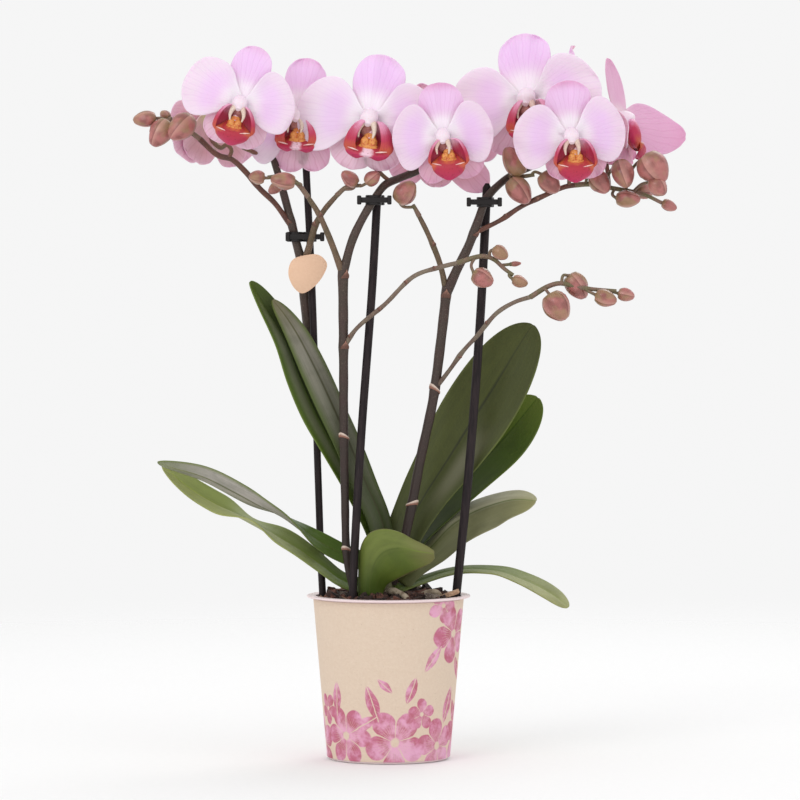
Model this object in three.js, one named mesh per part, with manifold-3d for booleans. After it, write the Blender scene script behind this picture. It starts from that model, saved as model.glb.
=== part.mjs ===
// A potted moth orchid: three tied flower spikes over a rosette of leaves, in a small printed pot.
// Millimetres, +Z up. The origin is the centre of the pot's underside, and the viewer stands towards -Y.

import * as THREE from "three";
import { mergeVertices } from "three/addons/utils/BufferGeometryUtils.js";
import Module from "manifold-3d";

const wasm = await Module();
wasm.setup();

// ---- Driving dimensions ------------------------------------------------------------------------

const CLEARANCE = 0.35; // gap that neighbouring pieces keep where they touch
const SMALL_SIDES = 4; // sides of a thin stem
const MAIN_SIDES = 6; // sides of a main stem or a stake

const POT = {
  height: 90,
  topRadius: 40.8,
  baseRadius: 33,
  wall: 0.9,
  floor: 1.6,
  rimRadius: 45,
  rimThickness: 1.3,
  sides: 36,
  holes: 5,
  holeRadius: 3,
  holeCircle: 20,
};

const WRAP = { bottom: 3, top: 88, thickness: 0.4 };

const SUBSTRATE = { edgeHeight: 85.5, middleHeight: 89, chips: 16, chipSize: 8 };

const STAKE_RADIUS = 2;
const STAKES = {
  stake_left: [[-31, 4, 25], [-36.2, 7, 87], [-38.8, 9, 153], [-42.2, 13, 258], [-45.8, 15, 331]],
  stake_middle: [[-20.5, -17, 25], [-19.6, -17, 89], [-15, -10, 176], [-9, -3, 258], [-6, 2, 312]],
  stake_right: [[31, -2, 25], [37.1, -3, 88], [43.6, 0, 159], [50.1, 6, 241], [54.3, 10, 316]],
};

// Each flower spike: its stems as routes with the radius at either end, and the pale sheath rings on it.
const SPIKES = {
  spike_left: {
    stems: [
      {
        route: [[-3, 13, 80], [-5, 17, 113], [-9.1, 18, 131], [-20.2, 18, 169], [-32.3, 18, 202],
          [-42.3, 18, 227], [-46.2, 16, 250], [-47.2, 14, 273]],
        radii: [2.4, 2.7],
      },
      {
        route: [[-47, 14, 270], [-50.5, 13, 282], [-53.2, 12, 293], [-59.3, 11, 316], [-66.5, 13, 340]],
        radii: [2.6, 1.8],
      },
      {
        route: [[-53.4, 12, 292], [-62.5, 8, 305], [-70.7, 4, 313], [-78.8, 2, 322.6], [-86, 4, 329],
          [-94, 8, 331.5], [-103.9, 10, 340.4]],
        radii: [1.4, 1.6],
      },
      {
        route: [[-47, 14, 270], [-43.3, 9, 282.5], [-39.9, 5, 293.5], [-34.9, 2, 301.7], [-27.7, 0, 309.9]],
        radii: [2.2, 1.4],
      },
    ],
    rings: [],
  },
  spike_middle: {
    stems: [
      {
        route: [[-17, -7, 60], [-19.4, -8, 92.5], [-22.7, -9, 110], [-23.8, -9, 143], [-24.4, -8, 176],
          [-24.6, -8, 228], [-24.9, -8, 268]],
        radii: [1.9, 2.9],
      },
      {
        route: [[-24.9, -8, 266], [-31.5, -9, 284], [-38, -10, 298.8], [-44.6, -10, 309.2]],
        radii: [2.2, 1.5],
      },
      {
        route: [[-24.9, -8, 266], [-20, -8, 284], [-14.5, -7, 296], [-7.9, -5, 307], [-1.9, -2, 314.9],
          [6.3, 3, 318.8], [16.2, 6, 323], [26.2, 9, 329.3], [36.7, 10, 336]],
        radii: [2.6, 2],
      },
      {
        route: [[-24.4, -8, 226], [-17.8, -12, 236], [-1.9, -18, 249.7], [13.9, -20, 265],
          [28, -20, 269.9], [38.4, -20, 272.5]],
        radii: [1.3, 1.4],
      },
    ],
    rings: [{ stem: 0, at: 0.27 }, { stem: 0, at: 0.56 }, { stem: 0, at: 0.99 }],
  },
  spike_right: {
    stems: [
      {
        route: [[2, -1, 96], [6.3, -3, 110], [12.9, -4, 140], [17.8, -3, 166], [24.4, -2, 197],
          [28.8, 0, 230], [32.1, 2, 259]],
        radii: [2.7, 3],
      },
      {
        route: [[32, 2, 257], [28.3, 2, 271.5], [21.7, 1, 288], [16.2, 0, 299]],
        radii: [2, 1.4],
      },
      {
        route: [[32, 2, 257], [37.6, 1, 268.7], [43.7, 1, 281], [49, 2, 295], [53.6, 3, 307.2],
          [59.8, 7, 314.4], [68.1, 12, 320.6], [78.2, 16, 325], [89.4, 20, 332], [100.5, 22, 340.7]],
        radii: [2.9, 1.6],
      },
      {
        route: [[48, 2, 289], [61.3, 1, 295.6], [72.3, 1, 302.8], [86, 0, 309.4], [97, 0, 314],
          [103, 0, 315]],
        radii: [1.4, 1.5],
      },
      {
        route: [[26.2, -2, 204], [33.7, -6, 214], [40.7, -12, 224], [48.8, -16, 233], [59, -20, 245],
          [68.8, -22, 251], [78.1, -22, 254]],
        radii: [1.3, 1.3],
      },
    ],
    rings: [{ stem: 0, at: 0.28 }, { stem: 0, at: 0.66 }],
  },
};

const CROWN = {
  stem: [[-3, -1, 70], [-4, -1, 90], [-3, 1, 106], [-2, 3, 118]],
  radii: [8, 5.5],
  roots: [
    [[-3, -3, 89], [2, -9, 91.5], [7, -14, 90.5], [9, -17, 84]],
    [[2, -2, 89], [14, -8, 89.5], [25, -10, 91], [31, -9, 84]],
    [[-6, 4, 91], [-14, 14, 94], [-20, 22, 90], [-23, 27, 82]],
    [[1, 4, 91], [12, 15, 93], [19, 22, 90], [21, 27, 82]],
  ],
  rootRadius: 2,
};

// Each leaf: its midrib, its greatest width, the way its upper face looks along it, how far its edges
// rise from the midrib as a share of the half width, the share of the width it has at its foot, and
// where along it is widest. Where given, inner is the share of the width kept on the side it bends to.
const LEAVES = {
  leaf_right_tall: {
    midrib: [[2, 6, 105], [9, 9, 123], [19, 12, 142], [30, 14, 159], [42, 17, 178], [58, 21, 203],
      [72, 24, 226], [80, 26, 238]],
    width: 41,
    faces: [[-0.35, -0.85, 0.4], [-0.25, -0.92, 0.3], [-0.2, -0.95, 0.1]],
    fold: 0.14,
    waist: 0.54,
    widest: 0.62,
  },

  leaf_right_back: {
    midrib: [[2, 9, 101], [10, 20, 118], [22.9, 27, 133], [42.4, 33, 152], [61.9, 38, 171.4],
      [76, 42, 188], [83.4, 44, 197]],
    width: 33,
    faces: [[-0.4, -0.5, 0.8], [-0.3, -0.75, 0.6], [-0.2, -0.9, 0.3]],
    fold: 0.16,
    waist: 0.3,
    widest: 0.66,
  },
  leaf_right_side: {
    midrib: [[5, 3, 97], [13, 7, 106], [23.5, 11, 115], [34.5, 13, 126.5], [45.5, 15, 133.5],
      [58, 14, 138.8], [70, 9, 142.4], [80.8, 3, 140.5]],
    width: 27,
    faces: [[-0.1, -0.6, 0.75], [-0.1, -0.6, 0.75], [-0.1, -0.6, 0.75]],
    fold: -0.35,
    waist: 0.5,
    widest: 0.5,
  },

  leaf_right_arching: {
    midrib: [[4, 0, 92.5], [15, 5, 96], [24, 9, 99], [33, 12, 101.5], [43, 12, 102.8], [55, 9, 102.5],
      [63, 6, 101.5], [72, 2, 98.5], [82, -4, 94.5], [91, -10, 89.5], [98, -15, 84]],
    width: 19,
    faces: [[-0.2, -0.55, 0.8], [0, -0.15, 1], [0.4, -0.6, 0.7]],
    fold: 0.08,
    waist: 0.45,
    widest: 0.6,
  },

  leaf_front: {
    midrib: [[-11, -12.6, 89.5], [-10, -13.5, 99], [-5, -18.5, 107.5], [5, -26, 112.5],
      [15.5, -33, 112.5], [24.8, -38.5, 110.3]],
    width: 36,
    inner: 0.56,
    faces: [[0, -1, 0.1], [-0.1, -0.9, 0.45], [0.15, -0.85, 0.5]],
    fold: -0.1,
    waist: 0.5,
    widest: 0.44,
  },
  leaf_left_upper: {
    midrib: [[-8, 2, 106], [-25, 1, 112], [-40.4, -2, 120.5], [-47.5, -3, 126], [-58.5, -4, 134],
      [-70.5, -6, 140], [-83.2, -8, 147], [-101.3, -9, 156], [-126.5, -7, 163]],
    width: 19,
    faces: [[0.3, -0.85, 0.5], [0.3, -0.75, 0.6], [0.3, 0.05, 0.95], [0.35, 0.5, 0.8],
      [0.35, 0.55, 0.75], [0.3, 0.55, 0.8]],
    fold: 0.12,
    waist: 0.6,
    widest: 0.62,
  },
  leaf_left_lower: {
    midrib: [[-7, -1, 93], [-23.9, 0, 96], [-38, 0, 106], [-48, 0.5, 113], [-60, 2, 120.5],
      [-71, 4, 127], [-83.3, 5, 133.6], [-96, 5, 140], [-107, 4, 147], [-116, 2, 153.5],
      [-124.5, 0, 160.5]],
    width: 18,
    faces: [[0.3, -0.7, 0.65], [0.35, -0.55, 0.75], [0.45, -0.2, 0.85], [0.45, 0, 0.9], [0.4, -0.3, 0.85],
      [0.35, -0.5, 0.8]],
    fold: 0.2,
    waist: 0.45,
    widest: 0.6,
  },

  leaf_left_tall: {
    midrib: [[-4, 5, 112], [-11, 6.5, 130], [-21, 6.5, 152], [-31.5, 5.5, 173.5], [-40.5, 5, 191],
      [-49, 4, 210], [-57, 2.5, 229.5], [-68.5, 0, 249], [-76, -2, 262]],
    width: 22,
    faces: [[0.3, -0.95, 0.1], [0.4, -0.9, 0.2], [0.7, -0.65, 0.3]],
    fold: 0.24,
    waist: 0.4,
    widest: 0.55,
  },

  leaf_left_inner: {
    midrib: [[-1.5, 0, 112], [-4, 0, 130], [-12.5, -1, 150], [-21, -1, 171], [-30.6, -1, 192.5],
      [-40.5, -2, 214], [-50.8, -3, 234], [-58, -4, 245], [-63.5, -5, 252]],
    width: 17,
    faces: [[-0.6, 0.7, 0.3], [-0.6, 0.7, 0.3], [-0.4, 0.85, 0.3]],
    fold: 0.16,
    waist: 0.72,
    widest: 0.5,
  },

};
const LEAF_THICKNESS = 1.8;
const LEAF_CELLS = { along: 7, across: 4 };
const LEAF_SMOOTHING = 0.16; // share of a leaf's length over which the way it runs is evened out

// Each bloom: where its column starts, its size, how far it is turned to the viewer's right, nods
// forward and leans over clockwise in degrees, and where its stalk meets the spike. Where given, droop
// is how far its petals hang in degrees, sweep how far their tips come forward as a share of their
// length, and narrow the share of their width that they keep.
const BLOOMS = {
  1: { centre: [-80.8, -22, 358.6], size: 1, turn: 0, nod: 4, lean: 12, stalk: [-86, 4, 329.5] },
  2: { centre: [-49.7, 4, 353.3], size: 1.08, turn: -8, nod: 0, lean: 4, stalk: [-64, 12.5, 337] },
  3: { centre: [-10.1, -10, 350.8], size: 1.18, turn: -6, nod: 0, lean: 8, stalk: [1, 0, 317] },
  4: { centre: [29.6, -26, 341.1], size: 0.95, turn: -3, nod: 10, lean: -2, stalk: [26.2, 8, 329.3] },
  5: { centre: [76.2, 2, 362.2], size: 1.24, turn: -10, nod: -2, lean: -2, stalk: [78, 16, 325] },
  6: { centre: [99.2, -24, 341.1], size: 1.02, turn: 2, nod: 8, lean: 0, stalk: [99, 0, 314.6] },
  7: { centre: [129, 12, 352.6], size: 1.02, turn: 60, nod: -11, lean: 0, stalk: [121, 0, 313.4], droop: 16, sweep: 0.6,
    narrow: 0.7 },
  8: { centre: [99, 38, 365], size: 0.92, turn: -92, nod: 0, lean: 0, stalk: [99.5, 22, 340] },
  9: { centre: [-97, 33, 353], size: 1.1, turn: -143, nod: 0, lean: -4, stalk: [-103, 10, 339.8], droop: 32 },
  10: { centre: [29, 26, 338], size: 1.08, turn: 180, nod: 12, lean: 18, stalk: [36, 10, 335.6] },
};
const TEPAL_THICKNESS = 0.9;
// Tepals of a bloom of size 1: the way each points in degrees from the viewer's right, its length and
// width, how far in front of the flower's middle plane it lies, how far its tip bends back and its
// edges come forward, and its outline as shares of the length reached and of the width there.
const TEPALS = {
  dorsal: {
    angle: 90, length: 30.5, width: 26, layer: -0.8, back: 2.6, cup: -1,
    outline: [[0.07, 0.22], [0.4, 0.84], [0.66, 1], [0.88, 0.78], [1, 0.38]],
  },
  petal: {
    angle: 0, length: 30.5, width: 41, layer: 1, back: 1.4, cup: 0.8,
    outline: [[0.07, 0.1], [0.2, 0.7], [0.5, 1], [0.84, 0.78], [1, 0.38]],
  },
  lateral: {
    angle: -56, length: 30, width: 22, layer: -1.2, back: 3, cup: -1,
    outline: [[0.07, 0.24], [0.45, 0.94], [0.8, 0.88], [1, 0.34]],
  },
};

// Each spray of buds: the end of the stem that carries it, and each bud's stalk foot, middle,
// pointing direction, length and radius.
const BUD_SPRAYS = {
  buds_far_left: {
    rachis: [[-102.9, 10, 339.6], [-110, 8, 345], [-118, 5, 349.5], [-127, 3, 351.2]],
    buds: [
      [[-124, 4, 351], [-133.8, 2, 351], [-1, -0.1, -0.1], 13, 4.6],
      [[-120, 4.5, 350], [-125, -2, 343], [-0.5, -0.3, -0.8], 17, 6.4],
      [[-108, 8.5, 343.5], [-113.5, -7, 346], [-0.6, -0.5, -0.6], 18, 7],
      [[-119, 5, 349.5], [-123, 9, 353.5], [-0.6, 0.6, 0.5], 7, 2.8],
    ],
  },
  buds_left: {
    rachis: [[-43.8, -10, 308.2], [-50, -11.5, 315.8], [-57, -10, 319.6], [-66, -11, 319]],
    buds: [
      [[-48, -11.3, 314], [-57.5, -17, 317], [-0.9, -0.2, 0.1], 14, 4.8],
      [[-50, -11.3, 315.8], [-62, -8, 313], [-0.8, 0.2, -0.6], 9, 3.2],
      [[-64, -10.5, 319.2], [-71.8, -12, 319], [-0.9, 0, 0.1], 9, 3.9],
    ],
  },
  buds_middle: {
    rachis: [[-28.5, 0.2, 309.2], [-22.8, -2, 313.8], [-15, -4.5, 314.6]],
    buds: [
      [[-24.5, -1.4, 312.5], [-21.4, -5.5, 318.5], [-0.7, -0.2, 0.6], 11, 4.2],
      [[-16.5, -4, 314.4], [-8.6, -8.5, 318.6], [0.7, -0.3, 0.6], 9.5, 4.1],
    ],
  },
  buds_centre: {
    rachis: [[16.8, 0, 298], [13.5, -2.5, 304]],
    buds: [[[14.2, -1.8, 302.8], [9.4, -8, 311], [0.6, -0.3, 0.7], 14.5, 6.2]],
  },
  buds_right: {
    rachis: [[66.8, 11.5, 320], [68, 7, 319.8], [73, 2, 319.6], [80, 1, 320.5]],
    buds: [
      [[68, 6.5, 319.8], [68.4, -1, 328], [-0.45, -0.3, 0.8], 18, 6.2],
      [[71, 3.4, 319.6], [71.8, -2, 311.5], [0.6, -0.3, -0.75], 17, 6.4],
      [[78, 1, 320.2], [88.4, -2.5, 316], [0.6, -0.2, -0.7], 14, 5.8],
    ],
  },
  buds_far_right: {
    rachis: [[102, 0, 314.9], [110.6, 0.5, 315.4], [122.7, 0.5, 313.2], [135.3, 0, 311], [142, 0, 309],
      [150, 0, 305]],
    buds: [
      [[108, 0.4, 315.3], [115.9, -7, 316], [0.5, -0.3, -0.7], 14, 5.8],
      [[118, 0.5, 314.4], [128.2, -11, 320.5], [0.2, -0.5, -0.7], 17, 6.3],
      [[130, 0.2, 312], [145, -12, 323.5], [0.4, -0.1, -0.6], 19, 8.6],
      [[134, 0, 311.2], [147, -15, 313.4], [0.5, -0.5, -0.5], 12, 5.2],
      [[124, 0.4, 312.8], [131.2, -7, 307.2], [0.9, -0.3, 0], 14, 4.8],
      [[136, 0, 310.8], [141, 7, 311.5], [0.6, 0.5, 0], 12, 4.4],
      [[148, 0, 306], [154, 0, 303.6], [0.9, 0, -0.4], 9, 3.2],
    ],
  },
  buds_low_left: {
    rachis: [[37.4, -20, 272.2], [50.9, -20, 275.9], [57, -20, 274.4], [63.4, -20, 268.8], [68, -20, 265.6]],
    buds: [
      [[47, -20, 274.9], [51.4, -25.5, 265.4], [0.8, -0.2, -0.4], 12, 5.1],
      [[55, -20, 274.9], [61, -24, 277.6], [0.7, -0.3, -0.5], 9.5, 4],
      [[61, -20, 271], [69.4, -18, 271.8], [1, 0, 0.1], 6, 1.5],
      [[66, -20, 267], [73, -21.5, 263], [0.9, -0.1, -0.3], 9, 3.2],
    ],
  },
  buds_low_right: {
    rachis: [[77.1, -22, 253.6], [86.8, -22, 259.5], [93.3, -22, 261.2], [101.5, -22, 259.5],
      [111, -22, 258], [124, -21.4, 257]],
    buds: [
      [[84, -22, 257.8], [91.8, -27, 248.4], [0.5, -0.2, -0.8], 17, 7.6],
      [[93, -22, 261.2], [103.2, -16, 264.5], [0.9, 0.2, 0.2], 13, 4.1],
      [[97, -22, 260.6], [104, -28.5, 254], [0.9, -0.2, -0.1], 13.5, 4.3],
      [[107, -22, 258.6], [118.2, -24.5, 253], [0.9, -0.1, -0.3], 12.5, 4.7],
      [[121, -21.5, 257.2], [130.6, -20.5, 254.8], [0.95, 0, -0.2], 9.5, 3.8],
    ],
  },
};

// Each clip: the stake and the stem of a spike that it holds together, and its height.
const CLIPS = {
  clip_left: { height: 286.6, stake: "stake_left", spike: "spike_left", stem: 1, bar: [-55.5, -36.5] },
  clip_middle: { height: 306.6, stake: "stake_middle", spike: "spike_middle", stem: 2, bar: [-16, 0.5] },
  clip_right: { height: 305.6, stake: "stake_right", spike: "spike_right", stem: 2, bar: [44, 61] },
};
const CLIP = { barHeight: 3, barDepth: 2.6, sleeveHeight: 5.5, sleeveWall: 1.5 };

const TAG = { centre: [-44.8, 8.4, 265.4], width: 21.5, height: 21.5, thickness: 0.9, loopHeight: 3 };

const COLOURS = {
  pot: 0xead9d6,
  pot_wrap: 0xd9c2a2,
  substrate: 0x4a2a20,
  crown: 0x55672c,
  leaf: 0x46602a,
  spike: 0x5f564a,
  stake: 0x33262b,
  clip: 0x302c30,
  tag: 0xe9bf9d,
  bloom: 0xefd2f3,
  lip: 0xb9285c,
  buds: 0xa06f68,
};

// ---- Solids ------------------------------------------------------------------------------------

const vector = (point) => new THREE.Vector3(...point);

// A closed geometry as a solid that can be joined and cut.
function solidOf(geometry) {
  const bare = geometry.clone();
  bare.deleteAttribute("normal");
  bare.deleteAttribute("uv");
  const merged = mergeVertices(bare, 1e-3);
  const triVerts = new Uint32Array(merged.index.array);
  return new wasm.Manifold(
    new wasm.Mesh({ numProp: 3, vertProperties: merged.attributes.position.array, triVerts }),
  );
}

function geometryOf(solid) {
  const { numProp, numVert, vertProperties, triVerts } = solid.getMesh();
  const positions = new Float32Array(numVert * 3);
  for (let i = 0; i < numVert; i++) {
    positions.set(vertProperties.subarray(i * numProp, i * numProp + 3), i * 3);
  }
  const geometry = new THREE.BufferGeometry();
  geometry.setAttribute("position", new THREE.BufferAttribute(positions, 3));
  geometry.setIndex(new THREE.BufferAttribute(triVerts, 1));
  geometry.computeVertexNormals();
  return geometry;
}

const join = (solids) => solids.reduce((whole, next) => whole.add(next));

// The largest of a solid's separate bodies.
function largest(solid) {
  const bodies = solid.decompose();
  return bodies.reduce((best, body) => (body.volume() > best.volume() ? body : best), bodies[0]);
}

function geometryFrom(points, faces) {
  const geometry = new THREE.BufferGeometry();
  geometry.setAttribute("position", new THREE.Float32BufferAttribute(points.flatMap((p) => p.toArray()), 3));
  geometry.setIndex(faces);
  return geometry;
}

// The closed body through rings of points, each end closed by a fan.
function loft(rings) {
  const sides = rings[0].length;
  const points = rings.flat();
  const faces = [];
  for (let ring = 0; ring + 1 < rings.length; ring++) {
    for (let side = 0; side < sides; side++) {
      const next = (side + 1) % sides;
      const low = ring * sides;
      const high = low + sides;
      faces.push(low + side, low + next, high + next, low + side, high + next, high + side);
    }
  }
  const middleOf = (ring) => ring.reduce((sum, p) => sum.add(p), new THREE.Vector3()).divideScalar(sides);
  const start = points.push(middleOf(rings[0])) - 1;
  const end = points.push(middleOf(rings.at(-1))) - 1;
  const last = (rings.length - 1) * sides;
  for (let side = 0; side < sides; side++) {
    const next = (side + 1) % sides;
    faces.push(start, next, side, end, last + side, last + next);
  }
  return solidOf(geometryFrom(points, faces));
}

// A round stem along a smooth curve, its radius given at any share of its length.
function stem(route, radiusAt, sides, steps) {
  const curve = new THREE.CatmullRomCurve3(route.map(vector), false, "centripetal");
  const frames = curve.computeFrenetFrames(steps, false);
  const rings = [];
  for (let step = 0; step <= steps; step++) {
    const middle = curve.getPointAt(step / steps);
    const radius = radiusAt(step / steps);
    rings.push(
      Array.from({ length: sides }, (_, side) => {
        const angle = (2 * Math.PI * side) / sides;
        return middle
          .clone()
          .addScaledVector(frames.normals[step], radius * Math.cos(angle))
          .addScaledVector(frames.binormals[step], radius * Math.sin(angle));
      }),
    );
  }
  return loft(rings);
}

const tapered = (first, last) => (share) => THREE.MathUtils.lerp(first, last, share);

// A thin blade of even thickness: surface(u, v) is a point on its middle, with u from 0 to 1 along
// it and v from -1 to 1 across it. Both faces are split into triangles alike.
function blade(surface, thickness, along, across) {
  const step = 1e-3;
  const front = [];
  const back = [];
  for (let i = 0; i <= along; i++) {
    for (let j = 0; j <= across; j++) {
      const u = i / along;
      const v = (2 * j) / across - 1;
      const alongSlope = surface(Math.min(1, u + step), v).sub(surface(Math.max(0, u - step), v));
      const acrossSlope = surface(u, Math.min(1, v + step)).sub(surface(u, Math.max(-1, v - step)));
      const normal = alongSlope.cross(acrossSlope).normalize();
      front.push(surface(u, v).addScaledVector(normal, thickness / 2));
      back.push(surface(u, v).addScaledVector(normal, -thickness / 2));
    }
  }
  const row = across + 1;
  const under = front.length;
  const faces = [];
  const triangle = (a, b, c) => faces.push(a, b, c, under + a, under + c, under + b);
  for (let i = 0; i < along; i++) {
    for (let j = 0; j < across; j++) {
      const near = i * row + j;
      const far = near + row;
      if (j < across / 2) {
        triangle(near, far, far + 1);
        triangle(near, far + 1, near + 1);
      } else {
        triangle(near, far, near + 1);
        triangle(far, far + 1, near + 1);
      }
    }
  }
  const edge = [];
  for (let i = 0; i < along; i++) edge.push(i * row);
  for (let j = 0; j < across; j++) edge.push(along * row + j);
  for (let i = along; i > 0; i--) edge.push(i * row + across);
  for (let j = across; j > 0; j--) edge.push(j);
  edge.forEach((a, index) => {
    const b = edge[(index + 1) % edge.length];
    faces.push(a, under + a, under + b, a, under + b, b);
  });
  return solidOf(geometryFrom([...front, ...back], faces));
}

function boxAt(middle, size) {
  const geometry = new THREE.BoxGeometry(...size);
  geometry.translate(...middle);
  return solidOf(geometry);
}

// ---- The pot, its printed wrap and what fills it -------------------------------------------------

const potRadius = (z) => THREE.MathUtils.lerp(POT.baseRadius, POT.topRadius, z / POT.height);

// A solid of revolution about +Z from its profile of radius and height.
function turned(profile, sides) {
  const geometry = new THREE.LatheGeometry(profile.map(([r, z]) => new THREE.Vector2(r, z)), sides);
  geometry.rotateX(Math.PI / 2);
  return solidOf(geometry);
}

function pot() {
  const rimBottom = POT.height - POT.rimThickness;
  const inside = (z) => potRadius(z) - POT.wall;
  const shell = turned(
    [
      [0, 0],
      [POT.baseRadius, 0],
      [potRadius(rimBottom), rimBottom],
      [POT.rimRadius - 0.5, rimBottom],
      [POT.rimRadius, POT.height - POT.rimThickness / 2],
      [POT.rimRadius - 0.5, POT.height],
      [inside(POT.height), POT.height],
      [inside(POT.floor), POT.floor],
      [0, POT.floor],
    ],
    POT.sides,
  );
  const holes = Array.from({ length: POT.holes }, (_, index) => {
    const angle = (2 * Math.PI * index) / POT.holes;
    const hole = new THREE.CylinderGeometry(POT.holeRadius, POT.holeRadius, 4 * POT.floor, MAIN_SIDES);
    hole.rotateX(Math.PI / 2);
    hole.translate(POT.holeCircle * Math.cos(angle), POT.holeCircle * Math.sin(angle), 0);
    return solidOf(hole);
  });
  return holes.reduce((whole, hole) => whole.subtract(hole), shell);
}

function potWrap() {
  const inside = (z) => potRadius(z) + CLEARANCE;
  const outside = (z) => inside(z) + WRAP.thickness;
  return turned(
    [
      [inside(WRAP.bottom), WRAP.bottom],
      [outside(WRAP.bottom), WRAP.bottom],
      [outside(WRAP.top), WRAP.top],
      [inside(WRAP.top), WRAP.top],
      [inside(WRAP.bottom), WRAP.bottom],
    ],
    POT.sides,
  );
}

// A repeatable draw of numbers from 0 to 1.
function draws(seed) {
  let state = seed;
  return () => {
    state = (state * 1664525 + 1013904223) % 4294967296;
    return state / 4294967296;
  };
}

function substrate() {
  const wallGap = POT.wall + CLEARANCE;
  const bottom = POT.floor + CLEARANCE;
  const edge = potRadius(SUBSTRATE.edgeHeight) - wallGap;
  const plug = turned(
    [
      [0, bottom],
      [potRadius(bottom) - wallGap, bottom],
      [edge, SUBSTRATE.edgeHeight],
      [0, SUBSTRATE.middleHeight],
    ],
    20,
  );
  const draw = draws(7);
  const chips = Array.from({ length: SUBSTRATE.chips }, (_, index) => {
    const size = SUBSTRATE.chipSize * (0.7 + 0.6 * draw());
    const radius = (edge - 0.8 * size) * Math.sqrt((index + 0.5) / SUBSTRATE.chips);
    const angle = index * 2.4;
    const chip = new THREE.OctahedronGeometry(size / 2);
    chip.scale(1.5, 0.9, 0.75);
    chip.rotateX(1.2 * (draw() - 0.5));
    chip.rotateY(1.2 * (draw() - 0.5));
    chip.rotateZ(2 * Math.PI * draw());
    const fall = (SUBSTRATE.middleHeight - SUBSTRATE.edgeHeight) * (radius / edge) ** 2;
    chip.translate(
      radius * Math.cos(angle),
      radius * Math.sin(angle),
      SUBSTRATE.middleHeight - fall + 0.8 * draw(),
    );
    return solidOf(chip);
  });
  return join([plug, ...chips]);
}

// ---- The plant -----------------------------------------------------------------------------------

function crown(grow) {
  const [wide, narrow] = CROWN.radii;
  const body = stem(CROWN.stem, tapered(wide + grow, narrow + grow), 8, 4);
  const roots = CROWN.roots.map((route) =>
    stem(route, tapered(CROWN.rootRadius + grow, CROWN.rootRadius * 0.8 + grow), SMALL_SIDES, 4),
  );
  return join([body, ...roots]);
}

// The share of a leaf's greatest half width at a share of its length.
function leafWidth(share, { waist, widest }) {
  if (share < widest) return THREE.MathUtils.lerp(waist, 1, THREE.MathUtils.smoothstep(share, 0, widest) ** 1.3);
  const rest = (share - widest) / (1 - widest);
  return Math.max(0.12, Math.sqrt(1 - rest ** 2.3));
}

function leaf(shape, grow) {
  const midrib = new THREE.CatmullRomCurve3(shape.midrib.map(vector), false, "centripetal");
  const facing = new THREE.CatmullRomCurve3(shape.faces.map(vector), false, "centripetal");
  const surface = (u, v) => {
    const share = 1 - (1 - u) ** 1.35;
    const ahead = midrib.getPointAt(Math.min(1, share + LEAF_SMOOTHING));
    const along = ahead.sub(midrib.getPointAt(Math.max(0, share - LEAF_SMOOTHING))).normalize();
    const side = along.clone().cross(facing.getPoint(share)).normalize();
    const up = side.clone().cross(along);
    const kept = v < 0 ? (shape.inner ?? 1) : 1;
    const half = (shape.width / 2) * leafWidth(share, shape) * kept + grow;
    return midrib
      .getPointAt(share)
      .addScaledVector(side, -half * v)
      .addScaledVector(up, half * shape.fold * Math.abs(v) ** 1.4);
  };
  return blade(surface, LEAF_THICKNESS + 2 * grow, LEAF_CELLS.along, LEAF_CELLS.across);
}

function spike({ stems, rings }, grow) {
  const pieces = stems.map(({ route, radii }, index) => {
    const [first, last] = radii;
    const steps = index ? route.length - 1 : route.length + 1;
    return stem(route, tapered(first + grow, last + grow), index ? SMALL_SIDES : MAIN_SIDES, steps);
  });
  rings.forEach((ring) => {
    const { route, radii } = stems[ring.stem];
    const curve = new THREE.CatmullRomCurve3(route.map(vector), false, "centripetal");
    const middle = curve.getPointAt(ring.at);
    const along = curve.getTangentAt(ring.at);
    const ends = [-1.6, 0, 1.6].map((offset) => middle.clone().addScaledVector(along, offset).toArray());
    const radius = tapered(...radii)(ring.at) + grow;
    pieces.push(stem(ends, tapered(radius + 0.3, radius + 0.7), SMALL_SIDES, 1));
  });
  return join(pieces);
}

// The matrix that places a bloom: its own X is to the viewer's right, Y up and Z out of its face.
function bloomPlace({ centre, size, turn, nod, lean }) {
  const { degToRad } = THREE.MathUtils;
  const upright = new THREE.Matrix4().makeBasis(vector([1, 0, 0]), vector([0, 0, 1]), vector([0, -1, 0]));
  return new THREE.Matrix4()
    .makeTranslation(...centre)
    .multiply(new THREE.Matrix4().makeRotationZ(degToRad(turn)))
    .multiply(new THREE.Matrix4().makeRotationX(degToRad(nod)))
    .multiply(upright)
    .multiply(new THREE.Matrix4().makeRotationZ(degToRad(-lean)))
    .scale(vector([size, size, size]));
}

// Where an outline stands at a share of its own points.
function outlineAt(outline, share) {
  const step = Math.min(outline.length - 2, Math.floor(share * (outline.length - 1)));
  const rest = share * (outline.length - 1) - step;
  return outline[step].map((value, index) => THREE.MathUtils.lerp(value, outline[step + 1][index], rest));
}

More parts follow.
